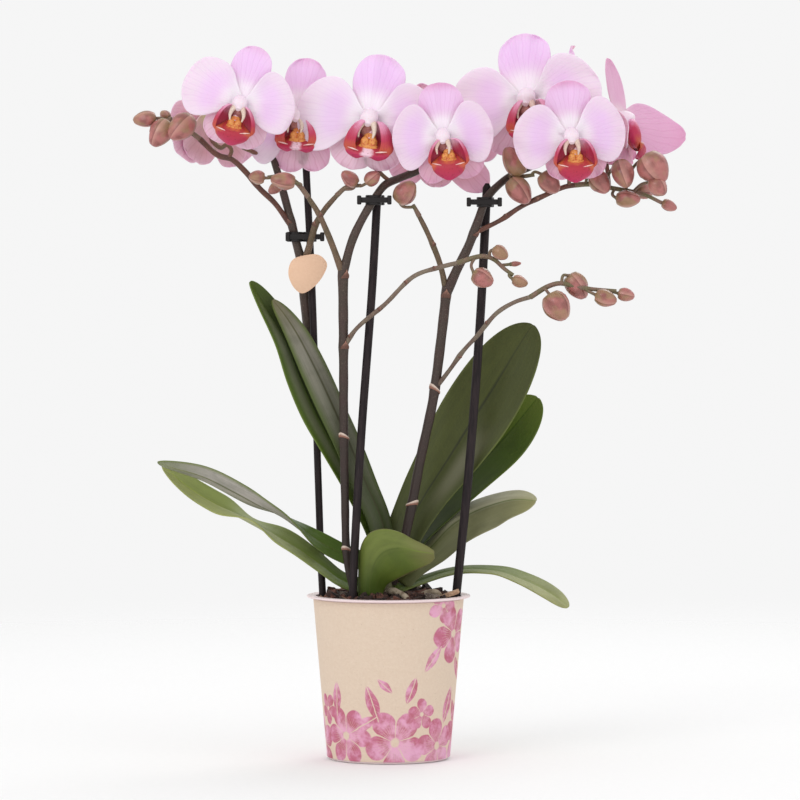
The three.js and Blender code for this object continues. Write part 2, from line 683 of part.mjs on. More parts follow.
// One tepal of a bloom, mirrored to the other side where asked.
function tepal(shape, mirror, { droop = 0, sweep = 0, narrow = 1 }, place, grow) {
  const hang = shape.angle - droop;
  const angle = THREE.MathUtils.degToRad(mirror ? 180 - hang : hang);
  const out = vector([Math.cos(angle), Math.sin(angle), 0]);
  const side = vector([-Math.sin(angle), Math.cos(angle), 0]).multiplyScalar(mirror ? -1 : 1);
  const surface = (u, v) => {
    const [reach, width] = outlineAt(shape.outline, u);
    const length = shape.length * reach * (1 - 0.05 * v * v) + grow * u;
    const curl = shape.cup * v * v * Math.sin(Math.PI * reach) - shape.back * reach ** 2;
    return out
      .clone()
      .multiplyScalar(length * Math.sqrt(1 - (sweep * reach) ** 2))
      .addScaledVector(side, ((shape.width / 2) * width * narrow + grow) * v)
      .setZ(shape.layer + curl + shape.length * sweep * reach ** 2)
      .applyMatrix4(place);
  };
  return blade(surface, TEPAL_THICKNESS + 2 * grow, shape.outline.length - 1, 2);
}

const COLUMN = { route: [[0, 0, -3], [0, 0, 2], [0, -1.6, 6.5]], radii: [3.4, 2] };

function bloom(shape, grow) {
  const place = bloomPlace(shape);
  const placed = (point) => vector(point).applyMatrix4(place).toArray();
  const { dorsal, petal, lateral } = TEPALS;
  const [thick, thin] = COLUMN.radii.map((radius) => radius * shape.size + grow);
  const column = stem(COLUMN.route.map(placed), tapered(thick, thin), SMALL_SIDES, 2);
  const behind = placed([0, 0.5, -9]);
  const stalk = stem([placed([0, 0, -2]), behind, shape.stalk], tapered(1.6 + grow, 1.2 + grow), 3, 3);
  return join([
    column,
    stalk,
    tepal(dorsal, false, {}, place, grow),
    tepal(petal, false, shape, place, grow),
    tepal(petal, true, shape, place, grow),
    tepal(lateral, false, {}, place, grow),
    tepal(lateral, true, {}, place, grow),
  ]);
}

// The lip: two upright side lobes curved round the column, and the middle lobe with its callus.
function lip(shape, grow) {
  const place = bloomPlace(shape);
  const thickness = 1 + 2 * grow;
  const sideLobe = (hand) => (u, v) => {
    const bow = Math.sin(Math.PI * (0.12 + 0.78 * u));
    const depth = 4.2 + 1.5 * Math.sin(Math.PI * u) + 3.2 * bow * v + 3.4 * u;
    return vector([
      hand * (3.4 + 7 * bow - 1.6 * bow * Math.max(0, v)),
      -2.5 - 15.5 * u,
      depth,
    ]).applyMatrix4(place);
  };
  const middleLobe = (u, v) => {
    const half = u < 0.4 ? THREE.MathUtils.lerp(5.5, 9.8, u / 0.4) : THREE.MathUtils.lerp(9.8, 1.2, (u - 0.4) / 0.6);
    return vector([half * v, -12 - 13.5 * u, 5.6 + 3.6 * Math.sin(2.5 * u) + 1.2 * v * v]).applyMatrix4(place);
  };
  const placed = (point) => vector(point).applyMatrix4(place).toArray();
  const callus = stem(
    [placed([0, -3.6, 2]), placed([0, -9.5, 5.6]), placed([0, -14, 8.4])],
    tapered(2 * shape.size + grow, 2.8 * shape.size + grow),
    4,
    2,
  );
  return join([
    blade(sideLobe(1), thickness, 3, 1),
    blade(sideLobe(-1), thickness, 3, 1),
    blade(middleLobe, thickness + 0.4, 3, 2),
    callus,
  ]);
}

function bud(middle, pointing, length, radius) {
  const along = vector(pointing).normalize();
  const base = vector(middle).addScaledVector(along, -length / 2);
  const tip = vector(middle).addScaledVector(along, length / 2);
  const girth = (share) => radius * Math.max(0.2, Math.sin(Math.PI * (0.1 + 0.84 * share) ** 0.85) ** 0.7);
  return stem([base.toArray(), middle, tip.toArray()], girth, 5, 3);
}

function budSpray({ rachis, buds }, grow) {
  const pieces = [stem(rachis, tapered(1.5 + grow, 1 + grow), SMALL_SIDES, rachis.length - 1)];
  buds.forEach(([foot, middle, pointing, length, radius]) => {
    const along = vector(pointing).normalize();
    const base = vector(middle).addScaledVector(along, -length * 0.3);
    const bend = vector(foot).lerp(base, 0.55).addScaledVector(along, -length * 0.12);
    pieces.push(stem([foot, bend.toArray(), base.toArray()], () => 1 + grow, 3, 2));
    pieces.push(bud(middle, pointing, length + 2 * grow, radius + grow));
  });
  return join(pieces);
}

// ---- Stakes, clips and the tag -------------------------------------------------------------------

function stake(route, grow) {
  const radiusAt = (share) => STAKE_RADIUS * (share < 1 ? 1 : 0.6) + grow;
  return stem(route, radiusAt, MAIN_SIDES, 7);
}

// Where a route passes a height.
function pointAtHeight(route, height) {
  const curve = new THREE.CatmullRomCurve3(route.map(vector), false, "centripetal");
  let low = 0;
  let high = 1;
  for (let turn = 0; turn < 30; turn++) {
    const middle = (low + high) / 2;
    if (curve.getPointAt(middle).z < height) low = middle;
    else high = middle;
  }
  return curve.getPointAt(low);
}

function sleeveAt(point, radius, height) {
  const sleeve = new THREE.CylinderGeometry(radius, radius, height, MAIN_SIDES);
  sleeve.rotateX(Math.PI / 2);
  sleeve.translate(point.x, point.y, point.z);
  return solidOf(sleeve);
}

function clip({ height, stake: stakeName, spike: spikeName, stem: stemIndex, bar }) {
  const held = [
    [pointAtHeight(STAKES[stakeName], height), STAKE_RADIUS],
    [pointAtHeight(SPIKES[spikeName].stems[stemIndex].route, height), 2.6],
  ];
  const sleeves = held.map(([point, radius]) =>
    sleeveAt(point, radius + CLEARANCE + CLIP.sleeveWall, CLIP.sleeveHeight),
  );
  const depth = Math.min(...held.map(([point]) => point.y)) - STAKE_RADIUS - CLIP.barDepth / 2;
  const [left, right] = bar;
  const cross = boxAt([(left + right) / 2, depth, height], [right - left, CLIP.barDepth, CLIP.barHeight]);
  const ends = bar.map((x) => boxAt([x, depth, height], [2.4, CLIP.barDepth + 1.6, CLIP.barHeight + 2]));
  return join([cross, ...ends, ...sleeves]);
}

function tag() {
  const [x, y, z] = TAG.centre;
  const { width, height, thickness } = TAG;
  const outline = new THREE.Shape();
  outline.moveTo(-0.1 * width, 0.42 * height);
  outline.quadraticCurveTo(0.18 * width, 0.62 * height, 0.42 * width, 0.4 * height);
  outline.quadraticCurveTo(0.62 * width, 0.12 * height, 0.3 * width, -0.22 * height);
  outline.quadraticCurveTo(-0.08 * width, -0.66 * height, -0.3 * width, -0.36 * height);
  outline.quadraticCurveTo(-0.62 * width, 0.2 * height, -0.1 * width, 0.42 * height);
  const plate = new THREE.ExtrudeGeometry(outline, { depth: thickness, bevelEnabled: false, curveSegments: 5 });
  plate.rotateX(Math.PI / 2);
  plate.translate(x, y, z);
  const stakePoint = pointAtHeight(STAKES.stake_left, z);
  const loop = sleeveAt(stakePoint, STAKE_RADIUS + CLEARANCE + 1.1, TAG.loopHeight);
  const neckDepth = stakePoint.y - STAKE_RADIUS - y;
  const neck = boxAt([stakePoint.x, y + neckDepth / 2, z], [2.4, neckDepth + 1, TAG.loopHeight]);
  return join([solidOf(plate), neck, loop]);
}

// ---- Assembly ------------------------------------------------------------------------------------

const orchid = new THREE.Group();
const placedPieces = [];

function boxesMeet(a, b) {
  const first = a.boundingBox();
  const second = b.boundingBox();
  return [0, 1, 2].every((axis) => first.min[axis] < second.max[axis] && second.min[axis] < first.max[axis]);
}

// Adds a piece, cleared of the pieces already placed. make(grow) builds it thicker by grow all round.
function place(name, colour, make, roughness = 0.6) {
  let solid = make(0);
  for (const other of placedPieces) {
    if (boxesMeet(solid, other.room)) solid = solid.subtract(other.room);
  }
  const mesh = new THREE.Mesh(
    geometryOf(largest(solid)),
    new THREE.MeshStandardMaterial({ color: colour, roughness, metalness: 0 }),
  );
  mesh.name = name;
  orchid.add(mesh);
  placedPieces.push({ name, room: make(CLEARANCE) });
}

for (const [name, route] of Object.entries(STAKES)) place(name, COLOURS.stake, (grow) => stake(route, grow), 0.45);
place("crown", COLOURS.crown, crown);
for (const [name, shape] of Object.entries(SPIKES)) place(name, COLOURS.spike, (grow) => spike(shape, grow));
for (const [name, shape] of Object.entries(LEAVES)) place(name, COLOURS.leaf, (grow) => leaf(shape, grow), 0.45);
for (const [number, shape] of Object.entries(BLOOMS)) {
  place("bloom_" + number, COLOURS.bloom, (grow) => bloom(shape, grow));
  place("lip_" + number, COLOURS.lip, (grow) => lip(shape, grow), 0.45);
}
for (const [name, shape] of Object.entries(BUD_SPRAYS)) place(name, COLOURS.buds, (grow) => budSpray(shape, grow));
for (const [name, shape] of Object.entries(CLIPS)) place(name, COLOURS.clip, () => clip(shape), 0.4);
place("tag", COLOURS.tag, tag, 0.8);
place("pot", COLOURS.pot, pot, 0.5);
place("pot_wrap", COLOURS.pot_wrap, potWrap, 0.9);
place("substrate", COLOURS.substrate, substrate, 1);

export default orchid;
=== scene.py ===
import bisect
import math
import random

import bpy
from mathutils import Matrix, Vector, noise


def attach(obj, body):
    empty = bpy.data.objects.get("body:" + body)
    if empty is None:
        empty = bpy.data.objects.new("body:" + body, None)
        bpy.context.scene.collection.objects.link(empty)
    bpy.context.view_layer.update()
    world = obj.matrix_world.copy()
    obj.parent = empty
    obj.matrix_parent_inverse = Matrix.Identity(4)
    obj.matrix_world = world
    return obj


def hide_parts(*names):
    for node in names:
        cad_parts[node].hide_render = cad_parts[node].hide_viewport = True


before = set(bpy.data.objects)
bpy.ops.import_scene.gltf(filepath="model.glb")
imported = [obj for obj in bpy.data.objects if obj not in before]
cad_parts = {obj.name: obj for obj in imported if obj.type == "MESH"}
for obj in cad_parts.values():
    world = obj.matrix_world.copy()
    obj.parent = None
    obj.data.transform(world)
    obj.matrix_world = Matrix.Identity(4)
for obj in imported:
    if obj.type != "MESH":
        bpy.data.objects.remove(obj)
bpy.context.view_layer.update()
bpy.ops.object.select_all(action="DESELECT")

mm = 0.001  # the shapes below are worked out in millimetres
fitGap = 0.35  # what neighbours keep between them in the pot
goldenAngle = 2.39996
dice = random.Random(11)
noise.seed_set(11)  # else the noise vectors differ with the time of day


# Smooth routes and blending ------

def blend(first, second, share):
    return first + (second - first) * share


def ease(value, low, high):
    share = min(1.0, max(0.0, (value - low) / (high - low)))
    return share * share * (3 - 2 * share)


class Route:
    # a smooth line through its points, read by the share of its length
    def __init__(self, points, place=Matrix()):
        self.points = [place @ Vector(point) for point in points]
        steps = 24 * (len(points) - 1)
        self.samples = [self.between(step / steps) for step in range(steps + 1)]
        self.lengths = [0.0]
        for before, after in zip(self.samples, self.samples[1:]):
            self.lengths.append(self.lengths[-1] + (after - before).length)

    def between(self, share):
        points = self.points
        place = share * (len(points) - 1)
        start = min(int(place), len(points) - 2)
        rest = place - start
        p1, p2 = points[start], points[start + 1]
        p0 = points[start - 1] if start > 0 else p1 * 2 - p2
        p3 = points[start + 2] if start + 2 < len(points) else p2 * 2 - p1
        d0, d1, d2 = (max(1e-4, (b - a).length) ** 0.5 for a, b in ((p0, p1), (p1, p2), (p2, p3)))
        t1 = ((p1 - p0) / d0 - (p2 - p0) / (d0 + d1) + (p2 - p1) / d1) * d1
        t2 = ((p2 - p1) / d1 - (p3 - p1) / (d1 + d2) + (p3 - p2) / d2) * d1
        return p1 + t1 * rest + ((p2 - p1) * 3 - t1 * 2 - t2) * rest**2 + ((p1 - p2) * 2 + t1 + t2) * rest**3

    def at(self, share):
        wanted = min(1.0, max(0.0, share)) * self.lengths[-1]
        high = max(1, bisect.bisect_left(self.lengths, wanted))
        gap = self.lengths[high] - self.lengths[high - 1]
        rest = (wanted - self.lengths[high - 1]) / gap if gap else 0
        return self.samples[high - 1].lerp(self.samples[high], rest)

    def heading(self, share, reach=0.01):
        return (self.at(share + reach) - self.at(share - reach)).normalized()

    def atHeight(self, height):
        low, high = 0.0, 1.0
        for halving in range(30):
            middle = (low + high) / 2
            if self.at(middle).z < height:
                low = middle
            else:
                high = middle
        return self.at(low)


# Finishes ------

def paint(tone):
    # a colour as the screen shows it, 0 to 255
    parts = [part / 255 for part in tone]
    return tuple(p / 12.92 if p <= 0.04045 else ((p + 0.055) / 1.055) ** 2.4 for p in parts) + (1.0,)


def shaded(tone, share):
    return tuple(part * share for part in tone)


class Value:
    # a number that varies over a surface: arithmetic on it adds the Math nodes
    def __init__(self, finish, socket):
        self.finish = finish
        self.socket = socket

    def __add__(self, other):
        return self.finish.maths("ADD", self, other)

    def __sub__(self, other):
        return self.finish.maths("SUBTRACT", self, other)

    def __rsub__(self, other):
        return self.finish.maths("SUBTRACT", other, self)

    def __mul__(self, other):
        return self.finish.maths("MULTIPLY", self, other)

    def __truediv__(self, other):
        return self.finish.maths("DIVIDE", self, other)

    def __pow__(self, other):
        return self.finish.maths("POWER", self, other)

    def __abs__(self):
        return self.finish.maths("ABSOLUTE", self)

    __radd__ = __add__
    __rmul__ = __mul__

    def ease(self, low, high):
        sockets = {"Value": self, "From Min": low, "From Max": high}
        node = self.finish.node("ShaderNodeMapRange", {"interpolation_type": "SMOOTHSTEP"}, sockets)
        return Value(self.finish, node.outputs[0])


class Finish:
    def __init__(self, name):
        self.material = bpy.data.materials.new(name)
        self.material.use_nodes = True
        self.tree = self.material.node_tree
        self.shader = self.tree.nodes["Principled BSDF"]
        self.coordinates = None

    def node(self, kind, settings=None, sockets=None):
        made = self.tree.nodes.new(kind)
        for name, setting in (settings or {}).items():
            setattr(made, name, setting)
        for name, content in (sockets or {}).items():
            self.feed(made.inputs[name], content)
        return made

    def feed(self, socket, content):
        if isinstance(content, Value):
            content = content.socket
        if isinstance(content, bpy.types.NodeSocket):
            self.tree.links.new(content, socket)
        else:
            socket.default_value = content

    def maths(self, operation, *terms):
        node = self.node("ShaderNodeMath", {"operation": operation}, dict(enumerate(terms)))
        return Value(self, node.outputs[0])

    def length(self, x, y):
        return self.maths("SQRT", x * x + y * y)

    def wave(self, angle):
        return abs(self.maths("SINE", angle))

    def place(self):
        # where on the object a point is, in metres
        if self.coordinates is None:
            self.coordinates = self.node("ShaderNodeTexCoord").outputs["Object"]
        return self.coordinates

    def split(self, vector):
        node = self.node("ShaderNodeSeparateXYZ", None, {0: vector})
        return [Value(self, output) for output in node.outputs]

    def join(self, x, y, z=0.0):
        return self.node("ShaderNodeCombineXYZ", None, {0: x, 1: y, 2: z}).outputs[0]

    def map(self, name):
        # the two coordinates of one of the piece's own UV maps
        return self.split(self.node("ShaderNodeUVMap", {"uv_map": name}).outputs[0])[:2]

    def noise(self, size, vector=None, detail=3.0, roughness=0.5, distortion=0.0):
        # size is the width of a blotch in the vector's own unit
        sockets = {"Vector": self.place() if vector is None else vector, "Scale": 1 / size, "Detail": detail}
        node = self.node("ShaderNodeTexNoise", None, {**sockets, "Roughness": roughness, "Distortion": distortion})
        return Value(self, node.outputs[0])

    def mix(self, share, first, second):
        first, second = (paint(tone) if isinstance(tone, tuple) else tone for tone in (first, second))
        node = self.node("ShaderNodeMix", {"data_type": "RGBA"}, {0: share, 6: first, 7: second})
        return node.outputs[2]

    def layers(self, tone, *coats):
        # colours laid over a first one, each as far as its share says
        for share, coat in coats:
            tone = self.mix(share, tone, coat)
        return tone

    def dress(self, tone, roughness, relief=None, depth=0.0, more=None, strength=1.0):
        # the depth of the relief is in metres
        sockets = {"Base Color": tone, "Roughness": roughness, **(more or {})}
        if relief is not None:
            bump = {"Height": relief, "Distance": depth, "Strength": strength}
            sockets["Normal"] = self.node("ShaderNodeBump", None, bump).outputs[0]
        for name, content in sockets.items():
            self.feed(self.shader.inputs[name], content)
        return self.material


# Making and finishing pieces ------

def active():
    return bpy.context.view_layer.objects.active


def pick(piece):
    bpy.ops.object.select_all(action="DESELECT")
    piece.select_set(True)
    bpy.context.view_layer.objects.active = piece


def linked(piece):
    bpy.context.collection.objects.link(piece)
    pick(piece)
    return piece


def fromPoints(points, edges, faces):
    mesh = bpy.data.meshes.new("points")
    mesh.from_pydata(points, edges, faces)
    return linked(bpy.data.objects.new("points", mesh))


def edited(piece, *steps):
    # edit-mode operators, with what each is told, on the whole of a piece
    pick(piece)
    bpy.ops.object.mode_set(mode="EDIT")
    bpy.ops.mesh.select_all(action="SELECT")
    for step, settings in steps:
        step(**settings)
    bpy.ops.object.mode_set(mode="OBJECT")
    return piece


def withModifiers(piece, *modifiers):
    pick(piece)
    for kind, settings in modifiers:
        modifier = piece.modifiers.new(kind.title(), kind)
        for name, setting in settings.items():
            setattr(modifier, name, setting)
        bpy.ops.object.modifier_apply(modifier=modifier.name)
    return piece


def smoothShade(piece, angle=None):
    pick(piece)
    if angle is None:
        bpy.ops.object.shade_smooth()
    else:
        bpy.ops.object.shade_smooth_by_angle(angle=math.radians(angle))
    return piece


def wear(piece, *materials):
    piece.data.materials.clear()
    for material in materials:
        piece.data.materials.append(material)
    return piece


def deliver(pieces, name, slot, *nodes):
    # joined as one, they ride with the part and stand for its nodes; the slot is not used
    bpy.ops.object.select_all(action="DESELECT")
    for part in pieces:
        part.select_set(True)
    bpy.context.view_layer.objects.active = pieces[0]
    if len(pieces) > 1:
        bpy.ops.object.join()
    piece = active()
    piece.name = piece.data.name = name
    pick(piece)
    bpy.ops.object.transform_apply(location=True, rotation=True, scale=True)
    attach(piece, "root")
    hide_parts(*nodes)


def sheet(pointAt, along, across, mapAt=None):
    # a grid laid over pointAt(u, v), with u from 0 to 1 along it and v from -1 to 1 across it
    bpy.ops.mesh.primitive_grid_add(x_subdivisions=along, y_subdivisions=across, size=1)
    piece = active()
    mesh = piece.data
    shares = [(vertex.co.x + 0.5, vertex.co.y * 2) for vertex in mesh.vertices]
    for vertex, (u, v) in zip(mesh.vertices, shares):
        vertex.co = Vector(pointAt(u, v)) * mm
    mesh.uv_layers[0].name = "share"
    if mapAt is not None:
        flat = mesh.uv_layers.new(name="flat")
        for loop in mesh.loops:
            flat.data[loop.index].uv = mapAt(*shares[loop.vertex_index])
    return piece


def thickened(blade, thickness, *materials, **settings):
    # a sheet made solid and smooth, with its second material, if it has one, on the back
    if materials:
        wear(blade, *materials)
        settings = {"material_offset": 1, "material_offset_rim": 0, **settings}
    solid = ("SOLIDIFY", {"thickness": thickness * mm, "offset": 0, **settings})
    return smoothShade(withModifiers(blade, solid, ("SUBSURF", {"levels": 1, "render_levels": 1})))


def tubes(routes, sides):
    # round stems from (route, radius at a share of the length, steps)
    curve = bpy.data.curves.new("stem", "CURVE")
    curve.dimensions = "3D"
    curve.bevel_depth = mm
    curve.bevel_resolution = sides
    curve.use_fill_caps = True
    for route, radiusAt, steps in routes:
        spline = curve.splines.new("POLY")
        spline.points.add(steps)
        for step, point in enumerate(spline.points):
            point.co = (*(route.at(step / steps) * mm), 1)
            point.radius = radiusAt(step / steps)
    linked(bpy.data.objects.new("stem", curve))
    bpy.ops.object.convert(target="MESH")
    piece = active()
    if not piece.data.uv_layers.active:
        piece.data.uv_layers.new(name="share")
    return smoothShade(piece)


def spun(profile, steps):
    # a profile of (radius, height) turned about the upright axis
    edges = [(index, index + 1) for index in range(len(profile) - 1)]
    piece = fromPoints([(radius * mm, 0, height * mm) for radius, height in profile], edges, [])
    return edited(
        piece,
        (bpy.ops.mesh.spin, {"steps": steps, "angle": 2 * math.pi, "center": (0, 0, 0), "axis": (0, 0, 1)}),
        (bpy.ops.mesh.select_all, {"action": "SELECT"}),
        (bpy.ops.mesh.remove_doubles, {"threshold": 1e-6}),
        (bpy.ops.mesh.normals_make_consistent, {"inside": False}),
    )


def copyOf(piece, matrix):
    twin = piece.copy()
    twin.data = piece.data.copy()
    twin.data.transform(matrix)
    bpy.context.collection.objects.link(twin)
    return twin


def shifted(point, turn=Matrix(), size=(1, 1, 1)):
    # the matrix that sizes a shape, turns it and takes it to a point, in millimetres
    return Matrix.Translation(Vector(point) * mm) @ turn @ Matrix.Diagonal((*(Vector(size) * mm), 1))


# The pot ------

potSize = {
    "height": 90, "topRadius": 40.8, "baseRadius": 33, "wall": 0.9, "floor": 1.6, "rimRadius": 45,
    "rimThickness": 1.3,
}
sleeveSize = {"bottom": 1.2, "top": 88, "thickness": 0.4, "lap": 0.35, "printRadius": 38.0, "bleed": 1.6}


def potRadius(z):
    return blend(potSize["baseRadius"], potSize["topRadius"], z / potSize["height"])


def sleeveRadius(z):
    return potRadius(z) + fitGap


def potFinish():
    # thin moulded plastic, off-white with a rose cast
    finish = Finish("potPlastic")
    grain = finish.noise(0.0006, detail=2)
    tone = finish.mix(finish.noise(0.02, detail=2), (240, 222, 222), (230, 208, 210))
    return finish.dress(tone, 0.34 + 0.12 * grain, grain, 0.00005)


# Every printed blossom: where its middle lies round the pot and up it, its radius, turn and petals.
blossoms = [
    (4, 12, 19, 0.35, 5), (-27, 15, 17, 1.1, 6), (33, 9, 16, 2.0, 5), (20, 27, 9, 0.9, 5), (60, 14, 18, 0.2, 6),
    (-56, 9, 17, 0.8, 5), (-43, 29, 9, 0.3, 5), (86, 9, 17, 1.5, 5), (-85, 14, 18, 0.1, 6), (111, 13, 17, 0.9, 5),
    (-110, 9, 15, 2.2, 5), (72, 32, 8, 0.6, 5), (-70, 31, 8, 1.6, 5), (42, 70, 17, 0.5, 5), (31, 86, 10, 1.4, 5),
    (-88, 68, 16, 1.3, 6), (-101, 84, 9, 0.4, 5),
]
# Every printed leaf: its middle, half length, half width and lean.
sprigs = [
    (-9, 33, 11, 3.8, 1.9), (13, 40, 8, 3, 1.2), (-33, 35, 10, 3.6, 1.5), (41, 31, 11, 4, 1.25),
          (-14, 22, 9, 3.4, 0.5),
    (50, 27, 8, 3, 2.0), (-66, 26, 9, 3.4, 1.2), (96, 30, 11, 3.8, 1.1), (-97, 35, 10, 3.4, 1.9),
          (-2, 43, 6, 2.2, 2.4),
    (26, 57, 9, 3.2, 0.9), (51, 50, 9, 3.2, 2.2), (58, 80, 8, 3, 0.3), (-75, 52, 9, 3.2, 0.9),
          (-101, 51, 9, 3.2, 2.1),
    (118, 30, 8, 3, 1.8),
]


def printFinish():
    # uncoated kraft card with a watercolour of blossoms and leaves
    finish = Finish("printedCard")
    x, y, z = finish.split(finish.place())
    around = finish.maths("ARCTAN2", x, 0 - y) * sleeveSize["printRadius"]
    across = around + (finish.noise(0.006) - 0.5) * sleeveSize["bleed"]
    up = z * 1000.0 + (finish.noise(0.0071) - 0.5) * sleeveSize["bleed"]

    shapes = []  # what is inked, and how much of the ink stays beside its pale lines
    for middleX, middleZ, radius, turn, petals in blossoms:
        dx = across - middleX
        dz = up - middleZ
        reach = finish.length(dx, dz) / radius
        angle = finish.maths("ARCTAN2", dz, dx) + turn
        lobe = abs(finish.maths("COSINE", angle * (petals / 2)))
        shape = (0.5 + 0.5 * lobe**0.55 - reach).ease(0.0, 0.05)
        veins = finish.wave(angle * (petals * 4)).ease(0.0, 0.34)
        fading = reach.ease(0.75, 0.35) * reach.ease(0.12, 0.3)
        shapes.append((shape, lobe.ease(0.03, 0.16) * reach.ease(0.1, 0.17) * (1 - (1 - veins) * fading)))
    for middleX, middleZ, length, width, lean in sprigs:
        dx = across - middleX
        dz = up - middleZ
        along = (dx * math.cos(lean) + dz * math.sin(lean)) / length
        aside = abs((dz * math.cos(lean) - dx * math.sin(lean)) / width)
        ribs = finish.wave(along * 9.0 + aside * 3.0).ease(0.0, 0.2)
        shapes.append(((1 - along * along - aside).ease(0.0, 0.12), aside.ease(0.03, 0.12) * (0.55 + 0.45 * ribs)))
    ink, lines = 0.0, 1.0
    for shape, pale in shapes:
        ink = finish.maths("MAXIMUM", ink, shape)
        lines = lines * (1 - shape * (1 - pale))

    wash = finish.noise(0.012, detail=4, roughness=0.6)
    grain = finish.noise(0.0005, detail=4, roughness=0.7)
    fibre = finish.noise(0.0016, detail=5, roughness=0.75)
    relief = finish.noise(0.0022, finish.join(x, y, z * 1.8), distortion=0.6)
    card = finish.layers((227, 209, 190), (fibre, (210, 187, 165)),
                         (finish.noise(0.0011, detail=2).ease(0.72, 0.78) * 0.35, (150, 120, 95)))
    rose = finish.layers((186, 84, 122), (wash.ease(0.36, 0.62), (226, 160, 196)),
                         (finish.noise(0.005).ease(0.46, 0.64) * 0.6, (170, 66, 92)),
                         (up.ease(16.0, 2.0) * wash.ease(0.4, 0.6) * 0.5, (226, 172, 208)))
    tone = finish.mix(ink * lines * (0.78 + 0.22 * grain), card, rose)
    height = relief * 0.8 + grain * 0.12 + fibre * 0.08
    return finish.dress(tone, 0.72 + 0.2 * grain, height, 0.0004, strength=0.8)


def buildPot():
    wall, rim, top, floor = (potSize[key] for key in ("wall", "rimRadius", "height", "floor"))
    rimBottom = top - potSize["rimThickness"]
    outside = [
        (0, 0.5), (27, 0.5), (28.5, 0), (32.4, 0), (33, 0.5),
        (potRadius(4), 4), (potRadius(45), 45), (potRadius(rimBottom - 1), rimBottom - 1),
        (potRadius(rimBottom) + 0.6, rimBottom), (rim - 1.2, rimBottom + 0.1), (rim - 0.3, rimBottom + 0.15),
        (rim, top - 0.65), (rim - 0.3, top - 0.15), (rim - 1.2, top), (potRadius(top) + 0.2, top),
        (potRadius(top) - wall, top - 0.5),
    ]
    inside = [(potRadius(z) - wall, z) for z in (84, 40, 3)] + [(potRadius(3) - wall - 1.2, floor), (0, floor)]
    pot = smoothShade(spun(outside + inside, 128), 35)
    deliver([wear(pot, potFinish())], "pot_shell", "pot", "pot")

    bottom, top, thick = (sleeveSize[key] for key in ("bottom", "top", "thickness"))
    heights = [blend(bottom, top, step / 12) for step in range(13)]
    profile = [(sleeveRadius(z), z) for z in reversed(heights)]
    profile += [(sleeveRadius(bottom) + thick / 2, bottom - 0.12)]
    profile += [(sleeveRadius(z) + thick, z) for z in heights]
    profile += [(sleeveRadius(top) + thick / 2, top + 0.12), (sleeveRadius(top), top)]
    sleeve = spun(profile, 160)
    for vertex in sleeve.data.vertices:
        # a lapped seam down the back
        angle = math.degrees(math.atan2(vertex.co.x, vertex.co.y))
        radius = math.hypot(vertex.co.x, vertex.co.y)
        if abs(angle) < 6 and radius > (sleeveRadius(vertex.co.z / mm) + thick / 2) * mm:
            push = 1 + sleeveSize["lap"] * mm * ease(angle, -1.5, 0.5) * ease(angle, 6, 4.5) / radius
            vertex.co.x *= push
            vertex.co.y *= push
    deliver([wear(smoothShade(sleeve, 35), printFinish())], "pot_sleeve", "pot_print", "pot_wrap")
    print("pot and sleeve made")


# What fills the pot ------

barkSize = {
    "edge": 87.6, "middle": 90.5, "rise": 0.055, "chips": 170, "longest": 9.5, "sunk": 0.6, "roughFrom": 84,
    "lump": 1.4, "lumps": 320,
}
# The chips that the photo shows by themselves: middle, lean, size and finish.
bigChips = [
    ((33, -14, 91), -0.35, (12, 5, 2.4), 2),
    ((24, -22, 90.3), 0.2, (8, 5, 3), 3),
    ((-30, -16, 90.5), 0.5, (9, 5, 3.2), 1),
]
# The finish of the bed, then those of the chips: dark, middle and light.
barkTones = {
    "barkBed": ((26, 17, 15), (46, 29, 24), (84, 56, 44)),
    "barkRed": ((48, 26, 21), (102, 62, 50), (152, 108, 88)),
    "barkDark": ((28, 19, 17), (56, 37, 31), (104, 78, 64)),
    "barkPale": ((128, 96, 74), (186, 150, 122), (226, 200, 172)),
    "barkGrey": ((82, 70, 62), (126, 113, 102), (170, 160, 146)),
}


def barkFinish(name, dark, middle, light):
    finish = Finish(name)
    ridges = finish.noise(0.0016, detail=5, roughness=0.7, distortion=0.6)
    dust = finish.noise(0.0007)
    tone = finish.layers(dark, (finish.noise(0.006).ease(0.38, 0.62), middle), (dust.ease(0.56, 0.7) * 0.75, light))
    return finish.dress(tone, 0.75 + 0.2 * dust, ridges * 0.7 + dust * 0.3, 0.0009)


def makeChip():
    # one chip of bark: a split block with worn corners
    bpy.ops.mesh.primitive_cube_add(size=1)
    chip = edited(active(), (bpy.ops.mesh.subdivide, {"number_cuts": 2}))
    for vertex in chip.data.vertices:
        vertex.co.x *= 1 - 0.3 * abs(vertex.co.y)
        vertex.co += noise.noise_vector(vertex.co * 3.1) * 0.13
    withModifiers(chip, ("BEVEL", {"width": 0.06, "segments": 1, "angle_limit": 0.6}))
    return smoothShade(chip, 40)


